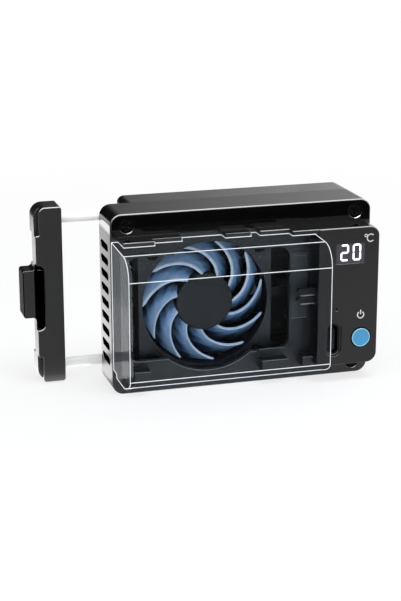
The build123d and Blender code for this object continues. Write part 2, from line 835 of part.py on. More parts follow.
# Heat sink, thermoelectric module, insulation, cold plate and the pad that touches the camera
fin_thick = 0.8
fin_count = 16
fin_pitch = (sink_height - fin_thick) / (fin_count - 1)
stack_screw_offset = (peltier_size + sink_width) / 4
stack_head_gap = 0.3
pilot_spare = 0.4

with BuildPart() as heat_sink:
    with BuildSketch(facing_front(y_sink_rear)) as sink_outline:
        with Locations((fan_x, fan_z)):
            Rectangle(sink_width, sink_height)
    extrude(amount=sink_base)
    with BuildSketch(facing_front(y_fin_rear)) as fin_outline:
        with Locations((fan_x, fan_z)):
            with GridLocations(0, fin_pitch, 1, fin_count):
                Rectangle(sink_width, fin_thick)
            with GridLocations(fan_hole_pitch, fan_hole_pitch, 2, 2):
                Circle(sink_boss_radius)
            with GridLocations(2 * stack_screw_offset, 0, 2, 1):
                Circle(screw_head_radius + stack_head_gap, mode=Mode.SUBTRACT)
    extrude(amount=fin_height)
    with BuildSketch(facing_front(y_fan_rear)) as sink_pilots:
        with Locations((fan_x, fan_z)):
            with GridLocations(fan_hole_pitch, fan_hole_pitch, 2, 2):
                Circle(screw_radius + thread_gap)
    extrude(amount=-(fan_screw_grip + pilot_spare), mode=Mode.SUBTRACT)
    with BuildSketch(facing_front(y_sink_rear)) as stack_holes:
        with Locations((fan_x, fan_z)):
            with GridLocations(2 * stack_screw_offset, 0, 2, 1):
                Circle(screw_radius + hole_gap)
    extrude(amount=sink_base, mode=Mode.SUBTRACT)
save(heat_sink, "heat_sink")

ceramic_thick = 0.7
pellet_size = 2.0
pellet_count = 6
pellet_edge = 2.5
pellet_pitch = (peltier_size - 2 * pellet_edge - pellet_size) / (pellet_count - 1)
with BuildPart() as peltier_module:
    with BuildSketch(facing_front(y_cold_front)) as cold_ceramic:
        with Locations((fan_x, fan_z)):
            Rectangle(peltier_size, peltier_size)
    extrude(amount=ceramic_thick)
    with BuildSketch(facing_front(y_sink_rear + ceramic_thick)) as hot_ceramic:
        with Locations((fan_x, fan_z)):
            Rectangle(peltier_size, peltier_size)
    extrude(amount=ceramic_thick)
    with BuildSketch(facing_front(y_cold_front - ceramic_thick)) as pellets:
        with Locations((fan_x, fan_z)):
            with GridLocations(pellet_pitch, pellet_pitch, pellet_count, pellet_count):
                Rectangle(pellet_size, pellet_size)
    extrude(amount=peltier_thick - 2 * ceramic_thick)
save(peltier_module, "peltier_module")

insulation_gap = 0.1
with BuildPart() as insulation_frame:
    with BuildSketch(facing_front(y_cold_front)) as insulation_outline:
        with Locations((fan_x, fan_z)):
            Rectangle(sink_width, flange_height)
            Rectangle(
                peltier_size + 2 * insulation_gap,
                peltier_size + 2 * insulation_gap,
                mode=Mode.SUBTRACT,
            )
            with GridLocations(2 * stack_screw_offset, 0, 2, 1):
                Circle(screw_radius + hole_gap, mode=Mode.SUBTRACT)
    extrude(amount=peltier_thick)
save(insulation_frame, "insulation_frame")

sensor_radius = 0.7
sensor_depth = 4.0
sensor_rise = 8.0
sensor_y = y_cold_front + flange_thick / 2
sensor_stub = 1.2
stack_grip = 2.2
stack_pilot_spare = 0.2
pad_corner = 1.0
with BuildPart() as cold_plate:
    with BuildSketch(facing_front(y_flange_rear)) as flange_outline:
        with Locations((fan_x, fan_z)):
            Rectangle(sink_width, flange_height)
    extrude(amount=flange_thick)
    with BuildSketch(facing_front(-pad_thick)) as raised_outline:
        with Locations((fan_x, fan_z)):
            Rectangle(pad_size, pad_size)
    extrude(amount=-pad_thick - y_flange_rear)
    with BuildSketch(facing_front(y_cold_front)) as stack_pilots:
        with Locations((fan_x, fan_z)):
            with GridLocations(2 * stack_screw_offset, 0, 2, 1):
                Circle(screw_radius + thread_gap)
    extrude(amount=-(stack_grip + stack_pilot_spare), mode=Mode.SUBTRACT)
    with BuildSketch(facing_right(fan_x + sink_width / 2)) as sensor_hole:
        with Locations((sensor_y, fan_z + sensor_rise)):
            Circle(sensor_radius + seat_gap)
    extrude(amount=-sensor_depth, mode=Mode.SUBTRACT)
save(cold_plate, "cold_plate")

with BuildPart() as contact_pad:
    with BuildSketch(facing_front(0)) as contact_pad_outline:
        with Locations((fan_x, fan_z)):
            RectangleRounded(pad_size, pad_size, pad_corner)
    extrude(amount=pad_thick)
save(contact_pad, "contact_pad")

with BuildPart() as temperature_sensor:
    with BuildSketch(facing_right(fan_x + sink_width / 2 - sensor_depth)) as sensor_outline:
        with Locations((sensor_y, fan_z + sensor_rise)):
            Circle(sensor_radius)
    extrude(amount=sensor_depth + sensor_stub)
save(temperature_sensor, "temperature_sensor")

with BuildPart() as stack_screws:
    with BuildSketch(facing_front(y_cold_front + stack_grip)) as stack_shank:
        with Locations((fan_x, fan_z)):
            with GridLocations(2 * stack_screw_offset, 0, 2, 1):
                Circle(screw_radius)
    extrude(amount=stack_grip + peltier_thick + sink_base)
    with BuildSketch(facing_front(y_fin_rear)) as stack_heads:
        with Locations((fan_x, fan_z)):
            with GridLocations(2 * stack_screw_offset, 0, 2, 1):
                Circle(screw_head_radius)
    extrude(amount=screw_head_height)
save(stack_screws, "stack_screws")

# Driver board, its link to the control board and the lead to the fan
connector_height = 4.0
capacitor_height = 5.0
capacitor_radius = 2.4
coil_size = 6.0
chip_width = 6.0
chip_corner = 0.8
y_connector = y_driver_front - connector_height
lead_thick = 0.5
lead_width = 3.0
connector_x = driver_left + 3.5
coil_place = (driver_x + 1.5, driver_height / 2 - 6.0)
driver_chip_place = (driver_right - 5.0, fan_z - 1.3)
capacitor_places = [
    (driver_x - 3.5, -driver_height / 2 + 6.0),
    (driver_x + 3.0, -driver_height / 2 + 5.5),
]
with BuildPart() as driver_board:
    with BuildSketch(facing_front(y_driver_rear)) as driver_outline:
        with Locations((driver_x, 0)):
            Rectangle(driver_width, driver_height)
            with GridLocations(driver_width - 2 * post_edge, driver_height - 2 * post_edge, 2, 2):
                Circle(post_pin_radius + seat_gap, mode=Mode.SUBTRACT)
    extrude(amount=driver_thick)
    # Fan connector, coil and chip
    with BuildSketch(facing_front(y_driver_front)) as tall_parts:
        with Locations((connector_x, fan_z)):
            Rectangle(4.0, lead_width + 2.0)
        with Locations(coil_place):
            RectangleRounded(coil_size, coil_size, chip_corner)
        with Locations(driver_chip_place):
            RectangleRounded(chip_width, 5.0, chip_corner)
    extrude(amount=connector_height)
    with BuildSketch(facing_front(y_driver_front)) as capacitors:
        with Locations(*capacitor_places):
            Circle(capacitor_radius)
    extrude(amount=capacitor_height)
save(driver_board, "driver_board")

with BuildPart() as board_link:
    with BuildSketch(facing_front(y_driver_front)) as link_outline:
        with Locations((link_x, link_z)):
            Rectangle(link_width, link_height)
    extrude(amount=y_driver_front - y_front)
save(board_link, "board_link")

with BuildPart() as fan_lead:
    with BuildSketch(Plane.XY.offset(fan_z - lead_width / 2)) as lead_outline:
        with BuildLine():
            Polyline(
                (x_fan_right, y_connector - lead_thick * 2),
                (connector_x + lead_thick, y_connector - lead_thick * 2),
                (connector_x + lead_thick, y_connector),
                (connector_x, y_connector),
                (connector_x, y_connector - lead_thick),
                (x_fan_right, y_connector - lead_thick),
                close=True,
            )
        make_face()
    extrude(amount=lead_width)
save(fan_lead, "fan_lead")

# Screws that close the case and hold the control block
head_sink = 0.2
thread_end_gap = 0.5
drive_length = 2.2
drive_width = 0.5
drive_depth = 0.6
with BuildPart() as front_screws:
    with BuildSketch(facing_front(y_front + head_recess_depth)) as front_heads:
        with GridLocations(2 * screw_x, 2 * screw_z, 2, 2):
            Circle(screw_head_radius)
    extrude(amount=screw_head_height - head_sink)
    with BuildSketch(facing_front(y_front + head_recess_depth)) as front_shanks:
        with GridLocations(2 * screw_x, 2 * screw_z, 2, 2):
            Circle(screw_radius)
    extrude(amount=-(plate_thick - head_recess_depth + pilot_depth - thread_end_gap))
    with BuildSketch(facing_front(y_front + head_sink)) as front_drives:
        with GridLocations(2 * screw_x, 2 * screw_z, 2, 2):
            Rectangle(drive_length, drive_width)
            Rectangle(drive_width, drive_length)
    extrude(amount=-drive_depth, mode=Mode.SUBTRACT)
save(front_screws, "front_screws")

cover_head_radius = 1.6
cover_head_height = 1.0
with BuildPart() as cover_screws:
    with BuildSketch(facing_front(y_plate_back)) as cover_shanks:
        with Locations(*cover_screw_places):
            Circle(cover_screw_radius)
    extrude(amount=plate_thick + board_thick + cover_pilot_depth - head_sink)
    with BuildSketch(facing_front(y_plate_back)) as cover_heads:
        with Locations(*cover_screw_places):
            Circle(cover_head_radius)
    extrude(amount=-cover_head_height)
save(cover_screws, "cover_screws")

# Clear battery case in the bay
case_slot_gap = 0.5
y_case_rear = y_front - case_rear_gap
y_case_front = y_case_rear - case_depth
y_groove = y_case_rear - groove_depth
z_groove = case_bottom + groove_height


def case_outline(x, inset):
    """The end profile of the case at x, moved in by an inset."""
    with BuildSketch(facing_right(x)) as profile:
        with BuildLine():
            FilletPolyline(
                (y_case_rear, case_top_rear),
                (y_case_rear, z_groove),
                (y_groove, z_groove),
                (y_groove, case_bottom),
                (y_case_front, case_bottom),
                (y_case_front, case_top_front),
                radius=[0, 0, 0, 0, case_bottom_round, case_top_round],
                close=True,
            )
        make_face()
        if inset > 0:
            offset(amount=-inset, kind=Kind.INTERSECTION, mode=Mode.REPLACE)
    return profile.sketch


with BuildPart() as clear_battery_case:
    extrude(case_outline(x_case_left, 0), amount=case_length)
    extrude(
        case_outline(x_case_left + case_wall, case_wall),
        amount=case_length - 2 * case_wall,
        mode=Mode.SUBTRACT,
    )
    # Slot in the right end for the battery contacts
    with BuildSketch(facing_right(x_case_left + case_length - case_wall)) as case_slot:
        with Locations((contact_y, contact_z)):
            Rectangle(prong_depth + 2 * case_slot_gap, 2 * contact_spacing + 2 * contact_gap)
    extrude(amount=case_wall, mode=Mode.SUBTRACT)
save(clear_battery_case, "clear_battery_case")

# Clamp: bushes, rods, collars, springs and the arm
with BuildPart() as rod_bushes:
    with BuildSketch(facing_right(x_block_left)) as bush_sleeve:
        with Locations((rod_y, rod_z), (rod_y, -rod_z)):
            Circle(bush_radius)
            Circle(rod_radius + rod_gap, mode=Mode.SUBTRACT)
    extrude(amount=bush_length)
save(rod_bushes, "rod_bushes")

x_arm_right = x_block_left - arm_stop_gap - arm_travel
x_arm_left = x_arm_right - arm_width
x_rod_left = x_arm_right - rod_overlap
rod_nose = 1.5
rod_chamfer = 0.3
with BuildPart() as guide_rods:
    with BuildSketch(facing_right(x_rod_left)) as rod_outline:
        with Locations((rod_y, rod_z), (rod_y, -rod_z)):
            Circle(rod_radius)
    extrude(amount=x_spring_left + rod_nose - x_rod_left)
    chamfer(guide_rods.faces().sort_by(Axis.X)[-2:].edges(), rod_chamfer)
save(guide_rods, "guide_rods")

with BuildPart() as rod_collars:
    with BuildSketch(facing_right(x_collar_left)) as collar_outline:
        with Locations((rod_y, rod_z), (rod_y, -rod_z)):
            Circle(spring_outer_radius)
            Circle(rod_radius + seat_gap, mode=Mode.SUBTRACT)
    extrude(amount=collar_length)
save(rod_collars, "rod_collars")

with BuildPart() as clamp_springs:
    with BuildSketch(facing_right(x_spring_left)) as spring_outline:
        with Locations((rod_y, rod_z), (rod_y, -rod_z)):
            Circle(spring_outer_radius)
            Circle(spring_inner_radius, mode=Mode.SUBTRACT)
    extrude(amount=spring_length)
save(clamp_springs, "clamp_springs")

arm_top = half_height - arm_end_gap
arm_step_top = 1.1
arm_step_bottom = 1.3
arm_step_high = arm_top - 8.2
arm_step_low = -arm_top + 7.7
arm_corner = 3.4
arm_small_corner = 0.8
face_top_corner = 1.9
face_edge_round = 0.3
step_round = 0.4
band_depth = 5.9
tab_reach = 3.7
tab_depth = 6.4
tab_low = -6.9
tab_high = 7.3
tab_corner = 0.8
tab_root = 1.2
tab_root_round = 1.0
scoop_width = 2.3
scoop_high = 9.2
scoop_low = -10.2
scoop_corner = 1.8
scoop_blend = 1.6
blend_waist = scoop_blend * (1 - math.sqrt(0.5))
scoop_depth = arm_depth - tab_depth
rod_hole_spare = 0.2
y_arm_rear = -arm_back
y_arm_front = y_arm_rear - arm_depth
y_scoop = y_arm_rear - tab_depth
x_tab = x_arm_left - tab_reach
x_scoop = x_arm_left + scoop_width
arm_screw_x = x_arm_right - arm_width / 2
with BuildPart() as clamp_arm:
    # Front layer, with small corners and the finger scoop in its outer edge
    with BuildSketch(facing_front(y_scoop)) as face_outline:
        with BuildLine():
            FilletPolyline(
                (x_arm_left + arm_step_top, arm_top),
                (x_arm_right, arm_top),
                (x_arm_right, -arm_top),
                (x_arm_left + arm_step_bottom, -arm_top),
                (x_arm_left + arm_step_bottom, arm_step_low),
                (x_arm_left, arm_step_low),
                (x_arm_left, scoop_low),
                (x_scoop, scoop_low),
                (x_scoop, scoop_high),
                (x_arm_left, scoop_high),
                (x_arm_left, arm_step_high),
                (x_arm_left + arm_step_top, arm_step_high),
                radius=[
                    face_top_corner,
                    arm_small_corner,
                    arm_small_corner,
                    arm_small_corner,
                    step_round,
                    step_round,
                    step_round,
                    scoop_corner,
                    scoop_corner,
                    step_round,
                    step_round,
                    step_round,
                ],
                close=True,
            )
        make_face()
    extrude(amount=scoop_depth)
    fillet(clamp_arm.faces().sort_by(Axis.Y)[0].edges(), face_edge_round)
    # Rear layer, full width at its ends, with large outer corners
    with BuildSketch(facing_front(y_arm_rear)) as rear_outline:
        with BuildLine():
            FilletPolyline(
                (x_arm_left, arm_top),
                (x_arm_right, arm_top),
                (x_arm_right, -arm_top),
                (x_arm_left, -arm_top),
                (x_arm_left, arm_step_low),
                (x_arm_left + arm_step_bottom, arm_step_low),
                (x_arm_left + arm_step_top, arm_step_high),
                (x_arm_left, arm_step_high),
                radius=[arm_corner, arm_small_corner, arm_small_corner, arm_corner, 0, 0, 0, 0],
                close=True,
            )
        make_face()
    extrude(amount=tab_depth)
    # Raised band along the outer side
    with BuildSketch(facing_front(y_arm_front + band_depth)) as band_outline:
        with Locations((x_arm_left + arm_width / 4, (arm_step_high + arm_step_low) / 2)):
            Rectangle(arm_width / 2, arm_step_high - arm_step_low)
    extrude(amount=band_depth - scoop_depth)
    # Outward tab that presses on the camera
    with BuildSketch(facing_front(y_arm_rear)) as tab_outline:
        with BuildLine():
            FilletPolyline(
                (x_scoop, tab_high + tab_root),
                (x_arm_left, tab_high + tab_root),
                (x_arm_left, tab_high),
                (x_tab, tab_high),
                (x_tab, tab_low),
                (x_arm_left, tab_low),
                (x_arm_left, tab_low - tab_root),
                (x_scoop, tab_low - tab_root),
                radius=[0, 0, tab_root_round, tab_corner, tab_corner, tab_root_round, 0, 0],
                close=True,
            )
        make_face()
    extrude(amount=tab_depth)
    # Concave blend from the scoop's wall to its floor
    with BuildSketch(Plane.XY.offset(scoop_low + scoop_corner)) as blend_outline:
        with BuildLine():
            blend_line = Polyline(
                (x_scoop - scoop_blend, y_scoop),
                (x_scoop, y_scoop),
                (x_scoop, y_scoop - scoop_blend),
            )
            ThreePointArc(
                blend_line @ 1,
                (x_scoop - blend_waist, y_scoop - blend_waist),
                blend_line @ 0,
            )
        make_face()
    extrude(amount=scoop_high - scoop_low - 2 * scoop_corner)
    # Blind holes for the rods and holes for the grub screws behind them
    with BuildSketch(facing_right(x_arm_right)) as arm_rod_holes:
        with Locations((rod_y, rod_z), (rod_y, -rod_z)):
            Circle(rod_radius + seat_gap)
    extrude(amount=-(rod_overlap + rod_hole_spare), mode=Mode.SUBTRACT)
    with BuildSketch(facing_front(y_arm_rear)) as grub_holes:
        with Locations((arm_screw_x, rod_z), (arm_screw_x, -rod_z)):
            Circle(screw_radius + thread_gap)
    extrude(amount=y_arm_rear - rod_y, mode=Mode.SUBTRACT)
save(clamp_arm, "clamp_arm")

grub_length = 2.5
with BuildPart() as arm_screws:
    with BuildSketch(facing_front(rod_y + rod_radius + grub_length)) as grub_outline:
        with Locations((arm_screw_x, rod_z), (arm_screw_x, -rod_z)):
            Circle(screw_radius)
    extrude(amount=grub_length - seat_gap)
save(arm_screws, "arm_screws")

arm_pad_width = 5.0
arm_pad_height = 11.0
arm_pad_z = 13.0
arm_pad_corner = 1.0
with BuildPart() as arm_pads:
    with BuildSketch(facing_front(0)) as arm_pad_outline:
        with Locations((arm_screw_x, arm_pad_z), (arm_screw_x, -arm_pad_z)):
            RectangleRounded(arm_pad_width, arm_pad_height, arm_pad_corner)
    extrude(amount=arm_back)
save(arm_pads, "arm_pads")
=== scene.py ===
"""A camera cooling fan: a flat black case with a fan behind a window, a clear battery case and a sliding clamp arm."""
import logging
import math
from dataclasses import dataclass, field
from enum import Enum

import bmesh
import bpy
from mathutils import Matrix, Vector


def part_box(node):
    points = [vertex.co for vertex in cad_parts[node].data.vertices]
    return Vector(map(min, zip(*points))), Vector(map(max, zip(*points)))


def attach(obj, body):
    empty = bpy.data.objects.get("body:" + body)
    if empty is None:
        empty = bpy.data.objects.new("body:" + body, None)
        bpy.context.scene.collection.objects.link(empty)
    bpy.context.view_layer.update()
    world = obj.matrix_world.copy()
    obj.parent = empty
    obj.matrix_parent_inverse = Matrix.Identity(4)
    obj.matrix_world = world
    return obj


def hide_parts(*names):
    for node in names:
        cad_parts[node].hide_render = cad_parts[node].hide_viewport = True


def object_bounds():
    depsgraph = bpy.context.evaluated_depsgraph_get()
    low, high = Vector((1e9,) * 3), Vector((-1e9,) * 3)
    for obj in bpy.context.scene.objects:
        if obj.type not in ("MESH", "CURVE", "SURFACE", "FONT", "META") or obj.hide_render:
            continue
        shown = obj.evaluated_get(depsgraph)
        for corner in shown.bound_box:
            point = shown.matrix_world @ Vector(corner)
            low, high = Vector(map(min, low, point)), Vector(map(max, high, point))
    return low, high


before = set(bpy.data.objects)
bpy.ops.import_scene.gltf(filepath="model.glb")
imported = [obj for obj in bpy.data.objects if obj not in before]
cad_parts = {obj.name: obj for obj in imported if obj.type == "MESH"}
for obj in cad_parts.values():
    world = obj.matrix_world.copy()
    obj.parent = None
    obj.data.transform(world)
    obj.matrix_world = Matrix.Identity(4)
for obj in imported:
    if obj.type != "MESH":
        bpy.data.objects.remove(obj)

CAD_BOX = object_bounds()
MM = 0.001
LOG = logging.getLogger("cooling_fan")

Colour = tuple[float, float, float, float]
Pair = tuple[float, float]
Point = tuple[float, float, float]
BMesh = bmesh.types.BMesh
Object = bpy.types.Object
Material = bpy.types.Material
Tree = bpy.types.NodeTree
Socket = bpy.types.NodeSocket
Mask = Socket | float

# Sizes of the solids that the looks follow, in metres.
FAN_LOW, FAN_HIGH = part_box("fan_impeller")
FRAME_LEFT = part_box("front_frame")[0].x
FRAME_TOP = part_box("front_frame")[1].z
FRAME_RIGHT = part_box("front_frame")[1].x
CASE_LOW, CASE_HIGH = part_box("clear_battery_case")
BLOCK_LOW, BLOCK_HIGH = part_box("control_cover")
PANE_LOW, PANE_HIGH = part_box("display_window")
BUTTON_LOW, BUTTON_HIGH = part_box("power_button")
ARM_LOW, ARM_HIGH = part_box("clamp_arm")
PLATE_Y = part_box("contact_panel")[0].y
RAIL_TOP = BLOCK_HIGH.z
BLOCK_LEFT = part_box("contact_panel")[1].x + 0.7 * MM
ARM_LEFT = ARM_LOW.x + 3.7 * MM

CLOUD = (0.3, 0.7)  # the range in which a cloudy noise does most of its wandering
UNEVEN = (-0.04, 0.05)  # how far a moulding's roughness strays from its mean
POLISHED = 0.08  # roughness of plastic from a polished part of the mould
LACQUER = 0.25  # roughness of a clear coat
EDGE_REACH = 0.22 * MM  # how far a painted edge highlight reaches from a plastic edge
SHARP_ANGLE = math.radians(40)  # edges that turn by more than this stay sharp


class Body(Enum):
    """The bodies that the pieces made here ride on."""

    CASE = "case"
    IMPELLER = "impeller"
    BATTERY_CASE = "battery_case"
    BUTTON = "button"


class Axis(Enum):
    """A direction that an axle or the lines of worked metal follow, as a unit vector."""

    X = (1.0, 0.0, 0.0)
    Y = (0.0, 1.0, 0.0)


class CardFace(Enum):
    """What a studio card shows to the glossy faces."""

    BLACK = "black paper"
    WHITE = "even white light"
    GRADED = "black on the left, brighter towards the right"


def middle(low: Vector, high: Vector) -> Pair:
    """X and Z of a box's middle."""
    return (low.x + high.x) / 2, (low.z + high.z) / 2


def linear(code: str) -> Colour:
    """Turn an sRGB hex colour into a linear one.

    Args:
        code: The colour as "#rrggbb".

    Returns:
        Linear red, green, blue and an alpha of 1.
    """
    parts = [int(code[i:i + 2], 16) / 255 for i in (1, 3, 5)]
    channels = [c / 12.92 if c <= 0.04045 else ((c + 0.055) / 1.055) ** 2.4 for c in parts]
    return (*channels, 1.0)


def scaled(colour: Colour, share: float) -> Colour:
    """A linear colour made darker or lighter by a share, up to white."""
    return (*(min(1.0, part * share) for part in colour[:3]), 1.0)


def add_node(
    tree: Tree,
    kind: str,
    settings: dict[str, object] | None = None,
    inputs: dict[str | int, object] | None = None,
) -> bpy.types.Node:
    """Add a shader node with its settings, and with its inputs set or linked.

    Args:
        tree: The node tree that the node joins.
        kind: The node's type name.
        settings: Attributes of the node and their values.
        inputs: Values of its sockets, where a socket as a value makes a link.

    Returns:
        The new node.
    """
    node = tree.nodes.new(kind)
    for name, value in (settings or {}).items():
        setattr(node, name, value)
    for name, value in (inputs or {}).items():
        if isinstance(value, Socket):
            tree.links.new(value, node.inputs[name])
        else:
            node.inputs[name].default_value = value
    return node


def new_material(name: str) -> Material:
    """Make an empty node material.

    Args:
        name: Its name.

    Returns:
        The material, whose node tree has no nodes.
    """
    material = bpy.data.materials.new(name)
    material.use_nodes = True
    material.node_tree.nodes.clear()
    return material


def close_material(tree: Tree, surface: Socket) -> None:
    """Link a surface to the tree's output."""
    add_node(tree, "ShaderNodeOutputMaterial", inputs={"Surface": surface})


def ramp_stops(node: bpy.types.Node, stops: list[tuple[float, Colour]]) -> None:
    """Set the stops of a colour ramp.

    Args:
        node: The ramp node, which has two stops when it is new.
        stops: Place and colour of each stop, at least two of them.
    """
    elements = node.color_ramp.elements
    for place, _ in stops[2:]:
        elements.new(place)
    for element, (place, colour) in zip(elements, stops):
        element.position = place
        element.color = colour


def paint_edge_highlights(tree: Tree, colour: Socket, pale: str) -> Socket:
    """Paint a pale highlight on the outer edges between front and top faces, where the light from above catches them.

    Args:
        tree: The material's node tree.
        colour: A socket with the colour of the faces.
        pale: The colour of the painted edge highlight.

    Returns:
        A socket that is pale on those edges, and keeps the colour on flat faces and in inner corners.
    """
    # Between a front face and a top face the rounded normal's Y times Z falls to -0.5, and on flat faces it is 0.
    rounded = add_node(tree, "ShaderNodeBevel", {"samples": 6}, {"Radius": EDGE_REACH})
    parts = add_node(tree, "ShaderNodeSeparateXYZ", inputs={"Vector": rounded.outputs["Normal"]})
    slant = add_node(tree, "ShaderNodeMath", {"operation": "MULTIPLY"}, {0: parts.outputs["Y"], 1: parts.outputs["Z"]})
    edge = add_node(
        tree, "ShaderNodeMapRange", inputs={"Value": slant.outputs[0], "From Min": -0.16, "From Max": -0.38}
    )
    # Inner corners are shaded by their other wall, so the painted highlight leaves them out.
    shade = add_node(
        tree, "ShaderNodeAmbientOcclusion", {"samples": 4, "only_local": True}, {"Distance": EDGE_REACH * 2}
    )
    reached = add_node(
        tree, "ShaderNodeMapRange", inputs={"Value": shade.outputs["AO"], "From Min": 0.78, "From Max": 0.95}
    )
    edge_highlight = add_node(
        tree, "ShaderNodeMath", {"operation": "MULTIPLY"}, {0: edge.outputs["Result"], 1: reached.outputs["Result"]}
    )
    return add_node(
        tree,
        "ShaderNodeMix",
        {"data_type": "RGBA"},
        {"Factor": edge_highlight.outputs[0], "A": colour, "B": linear(pale)},
    ).outputs["Result"]


@dataclass(frozen=True)
class ShadedHollow:
    """A hollow whose walls are painted black and coarse, as painted shade: its box and how much."""

    low: Point
    high: Point
    strength: float = 1.0

    def share(self, tree: Tree, place: Socket) -> Socket:
        """Find the surface inside the hollow.

        Args:
            tree: The material's node tree.
            place: A socket with Object coordinates.

        Returns:
            A socket that has this hollow's strength inside its box, and 0 outside.
        """
        parts = add_node(tree, "ShaderNodeSeparateXYZ", inputs={"Vector": place})
        inside: Mask = self.strength
        for name, low, high in zip("XYZ", self.low, self.high):
            between = add_node(
                tree,
                "ShaderNodeMath",
                {"operation": "COMPARE"},
                {0: parts.outputs[name], 1: (low + high) / 2, 2: (high - low) / 2},
            )
            both = add_node(tree, "ShaderNodeMath", {"operation": "MULTIPLY"}, {0: between.outputs[0], 1: inside})
            inside = both.outputs[0]
        return inside


def paint_hollow_shade(
    tree: Tree, place: Socket, shaded_hollows: tuple[ShadedHollow, ...], colour: Socket, roughness: Socket
) -> dict[str, Mask]:
    """Paint shade into a plastic inside its hollows, as black and coarse.

    Args:
        tree: The material's node tree.
        place: A socket with Object coordinates.
        shaded_hollows: The hollows, which don't overlap. There may be none.
        colour: A socket with the colour outside them.
        roughness: A socket with the roughness outside them.

    Returns:
        The shader's base colour, metallic and roughness. A black metal reflects least, so the painted shade in the
        hollows is one.
    """
    if not shaded_hollows:
        return {"Base Color": colour, "Metallic": 0.0, "Roughness": roughness}
    inside: Mask = 0.0
    for hollow in shaded_hollows:
        inside = add_node(tree, "ShaderNodeMath", inputs={0: inside, 1: hollow.share(tree, place)}).outputs[0]
    black = add_node(
        tree, "ShaderNodeMix", {"data_type": "RGBA"}, {"Factor": inside, "A": colour, "B": linear("#000000")}
    )
    coarse = add_node(tree, "ShaderNodeMapRange", inputs={"Value": inside, "To Min": roughness, "To Max": 1.0})
    return {"Base Color": black.outputs["Result"], "Metallic": inside, "Roughness": coarse.outputs["Result"]}


@dataclass(frozen=True)
class Grain:
    """The fine grain that a spark-eroded mould leaves, drawn about twice as coarse as it is so that it shows.

    Sizes are in millimetres: one grain's width and depth, and the rounding of the moulded edges.
    """

    width: float = 0.35
    depth: float = 0.010
    edge: float = 0.12

    def normal(self, tree: Tree, place: Socket, share: Mask = 1.0) -> Socket:
        """Add the bump of the grain over softened edges.

        Args:
            tree: The material's node tree.
            place: A socket with Object coordinates.
            share: 1 where the surface is grained, and 0 where it is polished.

        Returns:
            A socket with the normal.
        """
        grain = add_node(
            tree,
            "ShaderNodeTexNoise",
            inputs={"Vector": place, "Scale": 1 / (self.width * MM), "Detail": 2.0, "Roughness": 0.6},
        )
        height = add_node(tree, "ShaderNodeMath", {"operation": "MULTIPLY"}, {0: grain.outputs["Fac"], 1: share})
        rounded = add_node(tree, "ShaderNodeBevel", {"samples": 4}, {"Radius": self.edge * MM})
        bump = add_node(
            tree,
            "ShaderNodeBump",
            inputs={
                "Strength": 0.6,
                "Distance": self.depth * MM,
                "Height": height.outputs[0],
                "Normal": rounded.outputs["Normal"],
            },
        )
        return bump.outputs["Normal"]


@dataclass(frozen=True)
class Finish:
    """What every finish shares: a name and the steps that make a material of its surface."""

    name: str

    def surface(self, tree: Tree) -> Socket:
        """Add this finish's own nodes and return its surface."""
        raise NotImplementedError

    def build(self) -> Material:
        """Build the material.

        Returns:
            A material of this finish's name and surface.
        """
        material = new_material(self.name)
        close_material(material.node_tree, self.surface(material.node_tree))
        return material


@dataclass(frozen=True)
class MouldedPlastic(Finish):
    """Injection-moulded plastic with a spark-eroded grain, such as ABS: satin, with soft broad reflections."""

    colour: str
    roughness: float = 0.38
    ior: float = 1.54
    grain: Grain = Grain()
    coat: float = 0.0
    shade: float = 0.18
    edge_highlight: str = ""
    polished_above: float | None = None
    shaded_hollows: tuple[ShadedHollow, ...] = ()

    def surface(self, tree: Tree) -> Socket:
        """Add the grain, a cloudy unevenness as cooling leaves it, and the painted edge highlights, polish and painted
        shade of hollows if any.

        Args:
            tree: The material's node tree.

        Returns:
            The plastic's surface.
        """
        place = add_node(tree, "ShaderNodeTexCoord").outputs["Object"]
        cloud = add_node(
            tree,
            "ShaderNodeTexNoise",
            inputs={"Vector": place, "Scale": 1 / (self.grain.width * 40 * MM), "Detail": 3.0},
        ).outputs["Fac"]
        roughness = add_node(
            tree,
            "ShaderNodeMapRange",
            inputs={
                "Value": cloud,
                "From Min": CLOUD[0],
                "From Max": CLOUD[1],
                "To Min": self.roughness + UNEVEN[0],
                "To Max": self.roughness + UNEVEN[1],
            },
        ).outputs["Result"]
        if self.polished_above is not None:
            height = add_node(tree, "ShaderNodeSeparateXYZ", inputs={"Vector": place}).outputs["Z"]
            above = add_node(tree, "ShaderNodeMath", {"operation": "GREATER_THAN"}, {0: height, 1: self.polished_above})
            roughness = add_node(
                tree, "ShaderNodeMapRange", inputs={"Value": above.outputs[0], "To Min": roughness, "To Max": POLISHED}
            ).outputs["Result"]
        tint = add_node(tree, "ShaderNodeValToRGB", inputs={"Fac": cloud})
        base = linear(self.colour)
        ramp_stops(tint, [(CLOUD[0], scaled(base, 1 - self.shade)), (CLOUD[1], scaled(base, 1 + self.shade))])
        # Painted shade in the hollows, if any.
        inputs = paint_hollow_shade(tree, place, self.shaded_hollows, tint.outputs["Color"], roughness)
        # Painted highlight on the top front edges.
        if self.edge_highlight:
            inputs["Base Color"] = paint_edge_highlights(tree, inputs["Base Color"], self.edge_highlight)
        inputs["Normal"] = self.grain.normal(tree, place)
        inputs |= {"IOR": self.ior, "Coat Weight": self.coat, "Coat Roughness": LACQUER}
        return add_node(tree, "ShaderNodeBsdfPrincipled", inputs=inputs).outputs["BSDF"]


